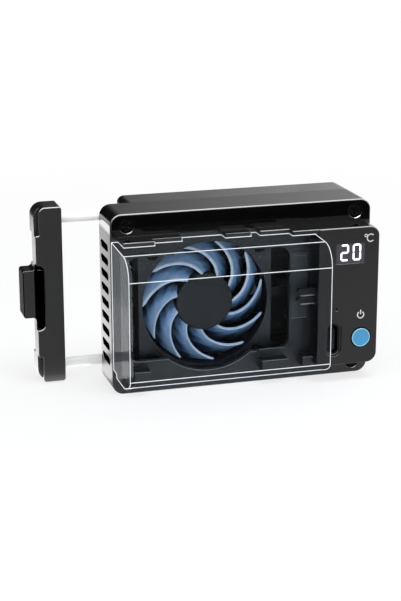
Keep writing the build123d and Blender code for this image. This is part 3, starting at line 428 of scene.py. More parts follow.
@dataclass(frozen=True)
class PolishedBandPlastic(Finish):
    """Black ABS moulded in one shot: satin grain, with a mirror-polished band along the top of its front face, whose
    darker colour is painted shade.
    """

    colour: str
    band_painted_shade: str
    band_low: float
    band_front: float
    roughness: float = 0.38
    band_roughness: float = 0.07
    band_blend: float = 0.4 * MM
    flush: float = 0.03 * MM
    level: float = 0.05 * MM
    proud: float = 0.1 * MM
    corner_roughness: float = 0.16
    corner_reach: float = 5.5 * MM
    corner_blend: Pair = (1.5 * MM, 0.6 * MM)
    grain: Grain = Grain()
    # Pale colour painted on the top front edges as a highlight.
    edge_highlight: str = "#c6c7c8"
    shaded_hollows: tuple[ShadedHollow, ...] = ()

    def upper_corner(self, tree: Tree, parts: bpy.types.Node) -> Mask:
        """Find the rounding between the left side and the top, which the mould's polishing has smoothed.

        Args:
            tree: The material's node tree.
            parts: A node with the parts of the Object coordinates.

        Returns:
            A mask of that rounding with soft ends.
        """
        side = FRAME_LEFT + self.corner_reach
        foot = FRAME_TOP - self.corner_reach
        wide, narrow = self.corner_blend
        corner: Mask = 1.0
        for axis, start, end in (
            ("X", side + wide, side - wide),
            ("Z", foot - narrow, foot + narrow),
            ("Z", FRAME_TOP - self.proud, FRAME_TOP - narrow),
        ):
            step = add_node(
                tree, "ShaderNodeMapRange", inputs={"Value": parts.outputs[axis], "From Min": start, "From Max": end}
            )
            both = add_node(tree, "ShaderNodeMath", {"operation": "MULTIPLY"}, {0: step.outputs["Result"], 1: corner})
            corner = both.outputs[0]
        return corner

    def band_and_rails(self, tree: Tree, parts: bpy.types.Node) -> tuple[Socket, Socket]:
        """Find the polished faces.

        Args:
            tree: The material's node tree.
            parts: A node with the parts of the Object coordinates.

        Returns:
            A mask of the band above band_low on faces at band_front, and one of the band with the rails' tops.
        """
        high = add_node(
            tree,
            "ShaderNodeMapRange",
            inputs={
                "Value": parts.outputs["Z"],
                "From Min": self.band_low - self.band_blend,
                "From Max": self.band_low + self.band_blend,
            },
        )
        front = add_node(
            tree,
            "ShaderNodeMath",
            {"operation": "LESS_THAN"},
            {0: parts.outputs["Y"], 1: self.band_front + self.flush},
        )
        band = add_node(
            tree, "ShaderNodeMath", {"operation": "MULTIPLY"}, {0: high.outputs["Result"], 1: front.outputs[0]}
        )
        level = add_node(
            tree,
            "ShaderNodeMath",
            {"operation": "COMPARE"},
            {0: parts.outputs["Z"], 1: self.band_low, 2: self.level},
        )
        proud = add_node(
            tree,
            "ShaderNodeMath",
            {"operation": "LESS_THAN"},
            {0: parts.outputs["Y"], 1: self.band_front - self.proud},
        )
        rail = add_node(tree, "ShaderNodeMath", {"operation": "MULTIPLY"}, {0: level.outputs[0], 1: proud.outputs[0]})
        smooth = add_node(tree, "ShaderNodeMath", {"operation": "MAXIMUM"}, {0: band.outputs[0], 1: rail.outputs[0]})
        return band.outputs[0], smooth.outputs[0]

    def surface(self, tree: Tree) -> Socket:
        """Add the polished band with its painted shade, the polished rails, the smoother corner, the painted edge
        highlights, and the painted shade in the vents.

        Args:
            tree: The material's node tree.

        Returns:
            The case front's surface.
        """
        place = add_node(tree, "ShaderNodeTexCoord").outputs["Object"]
        parts = add_node(tree, "ShaderNodeSeparateXYZ", inputs={"Vector": place})
        band, smooth = self.band_and_rails(tree, parts)
        grained = add_node(tree, "ShaderNodeMath", {"operation": "SUBTRACT"}, {0: 1.0, 1: band})
        satin = add_node(
            tree,
            "ShaderNodeMapRange",
            inputs={
                "Value": self.upper_corner(tree, parts),
                "To Min": self.roughness,
                "To Max": self.corner_roughness,
            },
        )
        gloss = add_node(
            tree,
            "ShaderNodeMapRange",
            inputs={"Value": smooth, "To Min": satin.outputs["Result"], "To Max": self.band_roughness},
        )
        # The band's darker colour is painted shade.
        tint = add_node(
            tree,
            "ShaderNodeMix",
            {"data_type": "RGBA"},
            {"Factor": band, "A": linear(self.colour), "B": linear(self.band_painted_shade)},
        )
        highlighted = paint_edge_highlights(tree, tint.outputs["Result"], self.edge_highlight)
        # Painted shade in the vents.
        inputs = paint_hollow_shade(tree, place, self.shaded_hollows, highlighted, gloss.outputs["Result"])
        inputs |= {"IOR": 1.54, "Normal": self.grain.normal(tree, place, grained.outputs[0])}
        return add_node(tree, "ShaderNodeBsdfPrincipled", inputs=inputs).outputs["BSDF"]


@dataclass(frozen=True)
class WorkedMetal(Finish):
    """Turned, ground or rolled metal: fine lines across one axis stretch its reflections."""

    colour: str
    roughness: float
    lines: Axis = Axis.X
    line_mm: float = 0.12
    line_depth_mm: float = 0.004
    metallic: float = 1.0
    glow: float = 0.0

    def surface(self, tree: Tree) -> Socket:
        """Add working lines that repeat along the chosen axis, each about 30 times longer than it is wide.

        Args:
            tree: The material's node tree.

        Returns:
            The metal's surface.
        """
        place = add_node(tree, "ShaderNodeTexCoord").outputs["Object"]
        fine = 1 / (self.line_mm * MM)
        stretch = [fine if part else fine / 30 for part in self.lines.value]
        stretched = add_node(tree, "ShaderNodeMapping", inputs={"Vector": place, "Scale": stretch})
        lines = add_node(
            tree, "ShaderNodeTexNoise", inputs={"Vector": stretched.outputs["Vector"], "Scale": 1.0, "Detail": 2.0}
        ).outputs["Fac"]
        bump = add_node(
            tree,
            "ShaderNodeBump",
            inputs={"Strength": 0.5, "Distance": self.line_depth_mm * MM, "Height": lines},
        )
        gloss = add_node(
            tree,
            "ShaderNodeMapRange",
            inputs={"Value": lines, "To Min": self.roughness * 0.8, "To Max": self.roughness * 1.25},
        )
        return add_node(
            tree,
            "ShaderNodeBsdfPrincipled",
            inputs={
                "Base Color": linear(self.colour),
                "Metallic": self.metallic,
                "Roughness": gloss.outputs["Result"],
                "Normal": bump.outputs["Normal"],
                "Emission Color": linear(self.colour),
                "Emission Strength": self.glow,
            },
        ).outputs["BSDF"]


@dataclass(frozen=True)
class ClearPlastic(Finish):
    """Polished clear polycarbonate, 1.2 mm thick: almost nothing shows but its gloss at a grazing look."""

    tint: str
    head_on: float = 0.001
    grazing: float = 0.09
    roughness: float = 0.06

    def surface(self, tree: Tree) -> Socket:
        """Add plastic that doesn't bend light, whose gloss grows towards a grazing look as Schlick's rule says.

        Args:
            tree: The material's node tree.

        Returns:
            The clear surface.
        """
        clear = add_node(tree, "ShaderNodeBsdfTransparent", inputs={"Color": linear(self.tint)})
        gloss = add_node(
            tree, "ShaderNodeBsdfGlossy", inputs={"Color": linear("#ffffff"), "Roughness": self.roughness}
        )
        facing = add_node(tree, "ShaderNodeLayerWeight", inputs={"Blend": 0.5}).outputs["Facing"]
        steep = add_node(tree, "ShaderNodeMath", {"operation": "POWER"}, {0: facing, 1: 5.0})
        share = add_node(
            tree,
            "ShaderNodeMath",
            {"operation": "MULTIPLY_ADD"},
            {0: steep.outputs[0], 1: self.grazing, 2: self.head_on},
        )
        return add_node(
            tree,
            "ShaderNodeMixShader",
            inputs={0: share.outputs[0], 1: clear.outputs["BSDF"], 2: gloss.outputs["BSDF"]},
        ).outputs["Shader"]


@dataclass(frozen=True)
class LitInk(Finish):
    """White light from display segments behind their pane, white pad-printing ink, or a painted highlight along the
    clear case's edges, by how much it glows.
    """

    colour: str
    glow: float = 0.0
    roughness: float = 0.5
    speck_mm: float = 0.25

    def surface(self, tree: Tree) -> Socket:
        """Add a pale film with the slight unevenness of a thin print.

        Args:
            tree: The material's node tree.

        Returns:
            The ink's surface.
        """
        place = add_node(tree, "ShaderNodeTexCoord").outputs["Object"]
        speck = add_node(
            tree, "ShaderNodeTexNoise", inputs={"Vector": place, "Scale": 1 / (self.speck_mm * MM), "Detail": 2.0}
        )
        tint = add_node(tree, "ShaderNodeValToRGB", inputs={"Fac": speck.outputs["Fac"]})
        base = linear(self.colour)
        ramp_stops(tint, [(0.3, scaled(base, 0.9)), (0.6, base)])
        return add_node(
            tree,
            "ShaderNodeBsdfPrincipled",
            inputs={
                "Base Color": tint.outputs["Color"],
                "Roughness": self.roughness,
                "Emission Color": base,
                "Emission Strength": self.glow,
            },
        ).outputs["BSDF"]


@dataclass(frozen=True)
class SwirlPlastic(Finish):
    """Fan blades of blue-grey PBT: a painted highlight along their front edges, and painted shade to black towards the
    back.
    """

    stops: tuple[tuple[float, str], ...]
    roughness: float = 0.28
    streak_mm: float = 1.6
    wander: float = 0.16

    def surface(self, tree: Tree) -> Socket:
        """Add a painted highlight that falls off with depth into painted shade, with streaks that follow circles round
        the axle.

        Args:
            tree: The material's node tree.

        Returns:
            The blades' surface.
        """
        place = add_node(tree, "ShaderNodeTexCoord").outputs["Object"]
        axle_x, axle_z = middle(FAN_LOW, FAN_HIGH)
        centred = add_node(tree, "ShaderNodeMapping", inputs={"Vector": place, "Location": (-axle_x, 0.0, -axle_z)})
        parts = add_node(tree, "ShaderNodeSeparateXYZ", inputs={"Vector": centred.outputs["Vector"]})
        across = add_node(tree, "ShaderNodeCombineXYZ", inputs={"X": parts.outputs["X"], "Z": parts.outputs["Z"]})
        radius = add_node(tree, "ShaderNodeVectorMath", {"operation": "LENGTH"}, {0: across.outputs["Vector"]})
        ring = add_node(tree, "ShaderNodeCombineXYZ", inputs={"X": radius.outputs["Value"], "Y": parts.outputs["Y"]})
        streak = add_node(
            tree,
            "ShaderNodeTexNoise",
            inputs={"Vector": ring.outputs["Vector"], "Scale": 1 / (self.streak_mm * MM), "Detail": 3.0},
        )
        depth_shade = add_node(
            tree,
            "ShaderNodeMapRange",
            inputs={"Value": parts.outputs["Y"], "From Min": FAN_LOW.y, "From Max": FAN_HIGH.y},
        )
        wander = add_node(
            tree,
            "ShaderNodeMapRange",
            inputs={
                "Value": streak.outputs["Fac"],
                "From Min": 0.25,
                "From Max": 0.75,
                "To Min": -self.wander,
                "To Max": self.wander,
            },
        )
        level = add_node(
            tree, "ShaderNodeMath", {"operation": "ADD"}, {0: depth_shade.outputs["Result"], 1: wander.outputs["Result"]}
        )
        tint = add_node(tree, "ShaderNodeValToRGB", inputs={"Fac": level.outputs[0]})
        ramp_stops(tint, [(place, linear(code)) for place, code in self.stops])
        return add_node(
            tree,
            "ShaderNodeBsdfPrincipled",
            inputs={"Base Color": tint.outputs["Color"], "Roughness": self.roughness, "IOR": 1.54},
        ).outputs["BSDF"]


@dataclass(frozen=True)
class CircuitBoard(Finish):
    """Glass-epoxy board under black solder mask: a gloss lacquer over raised copper tracks."""

    mask: str
    track: str
    track_mm: float = 1.1

    def surface(self, tree: Tree) -> Socket:
        """Add straight tracks that show as a lighter black.

        Args:
            tree: The material's node tree.

        Returns:
            The board's surface.
        """
        place = add_node(tree, "ShaderNodeTexCoord").outputs["Object"]
        upright = add_node(tree, "ShaderNodeMapping", inputs={"Vector": place, "Rotation": (math.pi / 2, 0, 0)})
        tracks = add_node(
            tree,
            "ShaderNodeTexBrick",
            {"offset": 0.37},
            {
                "Vector": upright.outputs["Vector"],
                "Scale": 1 / (self.track_mm * MM),
                "Color1": linear(self.mask),
                "Color2": linear(self.mask),
                "Mortar": linear(self.track),
                "Mortar Size": 0.08,
            },
        )
        bump = add_node(
            tree, "ShaderNodeBump", inputs={"Strength": 0.4, "Distance": 0.03 * MM, "Height": tracks.outputs["Fac"]}
        )
        return add_node(
            tree,
            "ShaderNodeBsdfPrincipled",
            inputs={
                "Base Color": tracks.outputs["Color"],
                "Roughness": 0.3,
                "IOR": 1.52,
                "Normal": bump.outputs["Normal"],
            },
        ).outputs["BSDF"]


# Painted shade in the slots in the case's left side, in the grip scooped out of the arm's left side, and on the end of
# its tab.
VENTS = ShadedHollow(
    (FRAME_LEFT + 0.12 * MM, PLATE_Y + 2.5 * MM, -19.8 * MM),
    (FRAME_LEFT + 3.9 * MM, 30 * MM, 19.8 * MM),
)
SCOOP = ShadedHollow(
    (ARM_LEFT - 0.3 * MM, ARM_LOW.y + 0.35 * MM, -10.15 * MM),
    (ARM_LEFT + 2.35 * MM, ARM_HIGH.y - 6.35 * MM, 9.15 * MM),
)
TAB_END = ShadedHollow(
    (ARM_LOW.x - 0.1 * MM, ARM_LOW.y, -7.5 * MM),
    (ARM_LOW.x + 0.35 * MM, ARM_HIGH.y, 7.5 * MM),
    strength=0.7,
)

# What each part is made of. Plastics give the case its soft satin black, and worked metals their stretched glints.
FINISHES: dict[str, Finish] = {
    # The visible mouldings: the lower the roughness and the higher the IOR, the greyer a black looks on top.
    "front_frame": PolishedBandPlastic(
        # the darker band colour is painted shade, and the vents get painted shade
        "abs_black_polished_band_painted_shade", "#121213", "#040404", RAIL_TOP, PLATE_Y, shaded_hollows=(VENTS,)
    ),
    "rear_housing": MouldedPlastic("abs_black_rear", "#101011", roughness=0.27),
    "control_cover": MouldedPlastic(
        "abs_black_control",
        "#0c0c0c",
        roughness=0.30,
        ior=1.45,
        # pale colour painted on the top front edges as a highlight
        edge_highlight="#a8a8a8",
        polished_above=RAIL_TOP - 0.05 * MM,
    ),
    "contact_panel": MouldedPlastic("abs_charcoal_insert", "#33373a", roughness=0.5),
    "contact_block": MouldedPlastic("nylon_black_contacts", "#060607", roughness=0.45, ior=1.36),
    "clamp_arm": MouldedPlastic(
        # pale colour painted on the top front edges as a highlight; painted shade in the scoop and on the tab's end
        "nylon_black_arm", "#0b0b0c", roughness=0.38, ior=1.47, edge_highlight="#e4e5e6", shaded_hollows=(SCOOP, TAB_END)
    ),
    "power_button": MouldedPlastic(
        "polycarbonate_blue_cap", "#3597cd", roughness=0.32, ior=1.58, coat=0.3, shade=0.06
    ),
    "display_window": MouldedPlastic(
        "acrylic_smoke_pane", "#37333f", roughness=0.08, ior=1.49, grain=Grain(depth=0.001)
    ),
    "status_led": MouldedPlastic("light_pipe_smoke", "#010101", roughness=0.5, ior=1.3),
    "fan_frame": MouldedPlastic("pbt_fan_frame", "#0c0d0f", roughness=0.35),
    "fan_impeller": MouldedPlastic("pbt_fan_hub", "#161615", roughness=0.5, ior=1.45),
    "clear_battery_case": ClearPlastic("polycarbonate_clear", "#fbfdff"),
    # Soft and hidden parts: rubber and foam are dull, ceramic is chalky.
    "arm_pads": MouldedPlastic("silicone_pad_dark", "#1d1d1f", roughness=0.75, ior=1.41),
    "rod_bushes": MouldedPlastic("acetal_bush_black", "#0d0d0e", roughness=0.3, ior=1.48),
    "fan_lead": MouldedPlastic("pvc_lead_black", "#0e0e0f", roughness=0.45),
    "board_link": MouldedPlastic("nylon_header_black", "#0e0e0e", roughness=0.4),
    "power_switch": MouldedPlastic("switch_nylon", "#161616", roughness=0.5),
    "display_module": MouldedPlastic("display_shell_white", "#d8d8d4", roughness=0.5),
    "contact_pad": MouldedPlastic(
        "silicone_thermal_pad", "#8b949c", roughness=0.7, ior=1.41, grain=Grain(width=0.6, depth=0.03)
    ),
    "insulation_frame": MouldedPlastic(
        "closed_cell_foam", "#3a3b3d", roughness=0.9, grain=Grain(width=0.5, depth=0.08)
    ),
    "peltier_module": MouldedPlastic("alumina_ceramic_white", "#e4e2da", roughness=0.55, ior=1.77),
    "temperature_sensor": MouldedPlastic("epoxy_bead_black", "#151012", roughness=0.25, ior=1.55),
    "control_board": CircuitBoard("fr4_control_board", "#0a0c0b", "#14181a"),
    "driver_board": CircuitBoard("fr4_driver_board", "#0a0c0b", "#14181a"),
    # Metals: the rods' chrome only mirrors a white room here, so they are drawn as white with a slight glow, a painted
    # reflection.
    "guide_rods": WorkedMetal("steel_chromed_rod_painted_reflection", "#ffffff", 0.35, Axis.X, metallic=0.0, glow=0.16),
    "front_screws": WorkedMetal("steel_black_oxide", "#161617", 0.34, Axis.Y),
    "usb_port": WorkedMetal("steel_deep_drawn_socket", "#26272a", 0.38, Axis.Y),
    "battery_contacts": WorkedMetal("phosphor_bronze_nickel_plated", "#8f9092", 0.35, Axis.X),
    "heat_sink": WorkedMetal("aluminium_black_anodised", "#1b1d20", 0.45, Axis.Y, line_mm=0.3),
    "cold_plate": WorkedMetal("aluminium_milled", "#b9bcc0", 0.32, Axis.X, line_mm=0.25),
    "rod_collars": WorkedMetal("steel_turned_collar", "#9a9a98", 0.3, Axis.X),
    "clamp_springs": WorkedMetal("spring_steel_drawn", "#8e8c88", 0.35, Axis.X, line_mm=0.4, line_depth_mm=0.03),
    "arm_screws": WorkedMetal("steel_grub_screw", "#6f6f70", 0.35, Axis.Y),
    "stack_screws": WorkedMetal("steel_zinc_plated", "#b2b4b0", 0.3, Axis.Y),
    "fan_screws": WorkedMetal("steel_black_oxide_fan", "#1c1c1d", 0.4, Axis.Y),
    "cover_screws": WorkedMetal("steel_zinc_cover", "#b2b4b0", 0.3, Axis.Y),
    "fan_shaft": WorkedMetal("steel_ground_shaft", "#c9cacb", 0.15, Axis.Y),
    "fan_bush": WorkedMetal("bronze_sintered_bush", "#a8793e", 0.4, Axis.Y),
    "fan_stator": WorkedMetal("steel_silicon_stator", "#7b7c7e", 0.4, Axis.Y),
    "magnet_ring": WorkedMetal("ferrite_bonded_ring", "#3b3b3d", 0.55, Axis.Y),
}

# Finishes of the pieces made here: the thin bright lines on trim, the button's paler rim and the screws' arcs are
# painted highlights, the button's black ring is painted shadow, and ink lies flat and even.
# The blades' colour: a painted highlight at the front, painted shade towards the back.
BLADE_PLASTIC = SwirlPlastic(
    "pbt_blades_painted_highlight_and_shade", ((0.0, "#d6e8fb"), (0.38, "#8fb6e0"), (0.74, "#26384c"), (0.96, "#020203"))
)
# A painted highlight along the blades' front edges.
BLADE_EDGE_HIGHLIGHT = MouldedPlastic("pbt_painted_edge_highlight", "#f3f8fd", roughness=0.12, ior=1.7, shade=0.05)
# Glowing white beads on the clear case's edges: painted highlights.
CASE_EDGE_HIGHLIGHT = LitInk("polycarbonate_painted_edge_highlight", "#e8eaec", glow=0.38)
# Pale beads on the rails' edges: painted highlights.
RAIL_EDGE_HIGHLIGHT = MouldedPlastic("abs_black_painted_edge_highlight", "#c9cacb", roughness=0.25, shade=0.1)
SEGMENT_LIGHT = LitInk("segment_light_white", "#f4f4fb", glow=0.9)
PAD_PRINT = LitInk("pad_print_white", "#e8e8e8")
# Black for the button's skirt, and for the ring of painted shadow round the button.
BUTTON_SKIRT_AND_SHADOW = MouldedPlastic(
    "abs_black_button_skirt_and_painted_shadow", "#020202", roughness=0.6, ior=1.12, grain=Grain(edge=0.005)
)
# A paler blue for the button's rim: a painted highlight.
BUTTON_RIM_HIGHLIGHT = MouldedPlastic("polycarbonate_blue_rim_painted_highlight", "#8fd3ee", roughness=0.18, ior=1.58, shade=0.04)
# A white arc on each screw's seat: a painted glint.
SCREW_GLINT = WorkedMetal("steel_painted_glint", "#f4f4f4", 0.22, Axis.Y)


@dataclass(frozen=True)
class Line:
    """A line that a bead follows: its points in metres, whether it closes, and the bead's width at each point."""

    points: list[Point]
    closed: bool = False
    widths: list[float] | None = None


def add_object(name: str, data: bpy.types.ID) -> Object:
    """Link a new object to the scene.

    Args:
        name: The object's name.
        data: Its mesh, camera or light.

    Returns:
        The object, at the origin.
    """
    thing = bpy.data.objects.new(name, data)
    bpy.context.scene.collection.objects.link(thing)
    return thing


def arc(centre: Pair, radius: float, start: float, end: float, steps: int) -> list[Pair]:
    """Points along an arc, in degrees, both ends included."""
    turns = [math.radians(start + (end - start) * i / steps) for i in range(steps + 1)]
    return [(centre[0] + radius * math.cos(t), centre[1] + radius * math.sin(t)) for t in turns]


def lathe(bm: BMesh, profile: list[Pair], centre: Pair, steps: int = 96) -> None:
    """Spin a profile round an axis that runs along Y.

    Args:
        bm: The bmesh that the turned shape joins.
        profile: Radius and depth of each point, in metres.
        centre: X and Z of the axis, in metres.
        steps: Steps in the full turn.
    """
    verts = [bm.verts.new((centre[0] + r, y, centre[1])) for r, y in profile]
    edges = [bm.edges.new(pair) for pair in zip(verts, verts[1:])]
    bmesh.ops.spin(
        bm,
        geom=verts + edges,
        cent=(centre[0], 0, centre[1]),
        axis=Axis.Y.value,
        angle=math.tau,
        steps=steps,
        use_merge=True,
    )
    bmesh.ops.remove_doubles(bm, verts=bm.verts, dist=1e-7)


def slab(bm: BMesh, centre: Point, size: Point, turn: float = 0.0) -> list[bmesh.types.BMVert]:
    """Add a block, turned about Y.

    Args:
        bm: The bmesh that the block joins.
        centre: Its centre in metres.
        size: Its full sizes in metres.
        turn: Turn about Y in degrees.

    Returns:
        Its corners.
    """
    place = Matrix.Translation(centre) @ Matrix.Rotation(math.radians(turn), 4, "Y") @ Matrix.Diagonal((*size, 1.0))
    return bmesh.ops.create_cube(bm, size=1.0, matrix=place)["verts"]


@dataclass
class Workshop:
    """What every sub-assembly uses to make and dress its pieces."""

    made: int = 0
    materials: dict[str, Material] = field(default_factory=dict)

    def material_of(self, finish: Finish) -> Material:
        """Find the material of a finish, built once for each name.

        Args:
            finish: The finish.

        Returns:
            Its material.
        """
        if finish.name not in self.materials:
            self.materials[finish.name] = finish.build()
        return self.materials[finish.name]

    def mesh_piece(self, name: str, bm: BMesh) -> Object:
        """Turn a bmesh into an object that sits at the origin.

        Args:
            name: The piece's name.
            bm: The shape in metres, freed by this call.

        Returns:
            The new object, linked to the scene.
        """
        bmesh.ops.recalc_face_normals(bm, faces=bm.faces)
        for face in bm.faces:
            face.smooth = True
        for edge in bm.edges:
            if len(edge.link_faces) == 2 and edge.calc_face_angle(0.0) > SHARP_ANGLE:
                edge.smooth = False
        mesh = bpy.data.meshes.new(name)
        bm.to_mesh(mesh)
        bm.free()
        return add_object(name, mesh)

    def bead(self, name: str, lines: list[Line], radius: float) -> Object:
        """Make round beads with closed ends along lines, as one mesh.

        Args:
            name: The piece's name.
            lines: The line of each bead.
            radius: Radius of the beads in metres.

        Returns:
            The new object.
        """
        curve = bpy.data.curves.new(name, "CURVE")
        curve.dimensions = "3D"
        curve.bevel_depth = radius
        curve.bevel_resolution = 3
        curve.use_fill_caps = True
        for line in lines:
            spline = curve.splines.new("POLY")
            spline.points.add(len(line.points) - 1)
            widths = line.widths or [1.0] * len(line.points)
            for slot, point, width in zip(spline.points, line.points, widths):
                slot.co = (*point, 1.0)
                slot.radius = width
            spline.use_cyclic_u = line.closed
        holder = bpy.data.objects.new(name, curve)
        mesh = bpy.data.meshes.new_from_object(holder)
        bm = bmesh.new()
        bm.from_mesh(mesh)
        bpy.data.objects.remove(holder)
        bpy.data.meshes.remove(mesh)
        return self.mesh_piece(name, bm)

    def dress(self, piece: Object, finish: Finish, body: Body, slot: str, *nodes: str) -> None:
        """Give a piece its finish, its body and the CAD nodes that it stands for.

        Args:
            piece: The finished piece.
            finish: Its finish.
            body: The body that it rides on.
            slot: The record's material slot; not used.
            nodes: CAD nodes that the piece replaces.
        """
        piece.data.materials.append(self.material_of(finish))
        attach(piece, body.value)
        if nodes:
            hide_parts(*nodes)
        self.made += 1
        LOG.info("piece %s rides on %s", piece.name, body.value)

    def dress_cad_nodes(self) -> None:
        """Give every CAD node its finish."""
        for name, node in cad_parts.items():
            material = self.material_of(FINISHES[name])
            for slot in node.material_slots:
                slot.material = material
            LOG.info("node %s wears %s", name, material.name)


def aimed(place: Point, target: Point) -> Matrix:
    """The transform of a camera or a light that stands at a place and points at a target."""
    aim = (Vector(target) - Vector(place)).to_track_quat("-Z", "Y")
    return Matrix.Translation(place) @ aim.to_matrix().to_4x4()


def flat_sheet(name: str, place: Matrix, size: Pair, material: Material) -> Object:
    """Make a flat rectangle for the stage.

    Args:
        name: Its name.
        place: Where its centre is and how it is turned.
        size: Its width and height in metres.
        material: Its material.

    Returns:
        The new object.
    """
    bm = bmesh.new()
    bmesh.ops.create_grid(bm, x_segments=1, y_segments=1, size=0.5, matrix=place @ Matrix.Diagonal((*size, 1, 1)))
    mesh = bpy.data.meshes.new(name)
    bm.to_mesh(mesh)
    bm.free()
    mesh.materials.append(material)
    return add_object(name, mesh)


def background_share(tree: Tree) -> Socket:
    """Find the rays that should see a white background: those from the camera, gloss or glass.

    Args:
        tree: The node tree of the floor or the world.

    Returns:
        A socket that is 1 for those rays, and 0 for the others.
    """
    path = add_node(tree, "ShaderNodeLightPath")
    share = path.outputs["Is Camera Ray"]
    for ray in ("Is Glossy Ray", "Is Transmission Ray"):
        share = add_node(tree, "ShaderNodeMath", {"operation": "MAXIMUM"}, {0: share, 1: path.outputs[ray]}).outputs[0]
    return share


@dataclass(frozen=True)
class Softbox:
    """A square soft light that points at the fan: its place and side in metres, and its brightness."""

    name: str
    place: Point
    side: float
    brightness: float

    def hang(self) -> None:
        """Hang the light."""
        data = bpy.data.lights.new(self.name, "AREA")
        data.shape = "SQUARE"
        data.size = self.side
        data.energy = self.brightness * math.pi * self.side ** 2
        add_object(self.name, data).matrix_world = aimed(self.place, (0.0, 0.0, 0.0))


@dataclass(frozen=True)
class Card:
    """A card that shows only in reflections.

    Its place is X, Y and the height above the floor, its size width and height, all in metres, and its tilt is in
    degrees about X. A graded card is dark up to the first place of its grade, and brightest from the second.
    """

    name: str
    place: Point
    size: Pair
    face: CardFace
    glow: float = 0.0
    tilt: float = 0.0
    grade: Pair = (-0.035, 0.22)

    def material(self) -> Material:
        """Build the card's material, by its face.

        Returns:
            The material.
        """
        material = new_material(self.name)
        tree = material.node_tree
        if self.face is CardFace.BLACK:
            paper = add_node(tree, "ShaderNodeBsdfDiffuse", inputs={"Color": linear("#101011")})
            close_material(tree, paper.outputs["BSDF"])
            return material
        strength: Mask = self.glow
        if self.face is CardFace.GRADED:
            place = add_node(tree, "ShaderNodeTexCoord").outputs["Object"]
            parts = add_node(tree, "ShaderNodeSeparateXYZ", inputs={"Vector": place})
            strength = add_node(
                tree,
                "ShaderNodeMapRange",
                inputs={
                    "Value": parts.outputs["X"],
                    "From Min": self.grade[0],
                    "From Max": self.grade[1],
                    "To Min": 0.0,
                    "To Max": self.glow,
                },
            ).outputs["Result"]
        light = add_node(tree, "ShaderNodeEmission", inputs={"Color": linear("#ffffff"), "Strength": strength})
        close_material(tree, light.outputs["Emission"])
        return material

    def hang(self, floor: float) -> None:
        """Hang the card over the floor.

        Args:
            floor: The floor's height in metres.
        """
        x, y, height = self.place
        place = Matrix.Translation((x, y, floor + height)) @ Matrix.Rotation(math.radians(self.tilt), 4, "X")
        card = flat_sheet(self.name, place, self.size, self.material())
        card.visible_camera = False
        card.visible_diffuse = False
        card.visible_shadow = False
        card.visible_transmission = False


SOFTBOXES = (
    Softbox("top_box", (0.06, -0.16, 0.50), 0.30, 6.0),
    Softbox("left_box", (-0.55, -0.30, 0.30), 0.45, 1.6),
    Softbox("right_box", (0.60, 0.20, 0.35), 0.45, 1.2),
)
CARDS = (
    # Keeps the polished band black.
    Card("band_card", (0.07, -0.230, 0.001), (0.20, 0.072), CardFace.BLACK),
    # Lights the top faces more towards the right.
    Card("rear_card", (-0.05, 0.24, 0.1965), (0.54, 0.38), CardFace.GRADED, glow=1.4, tilt=90.0),
    # Light up the left sides of the case and the arm.
    Card("side_card", (-0.1055, 0.094, 0.0002), (0.13, 0.212), CardFace.WHITE, glow=2.8),
    Card("near_card", (-0.0512, 0.030, 0.0004), (0.0212, 0.086), CardFace.WHITE, glow=4.2),
    # Darkens the battery case's left end.
    Card("left_card", (-0.18, -0.065, 0.001), (0.18, 0.13), CardFace.BLACK),
)


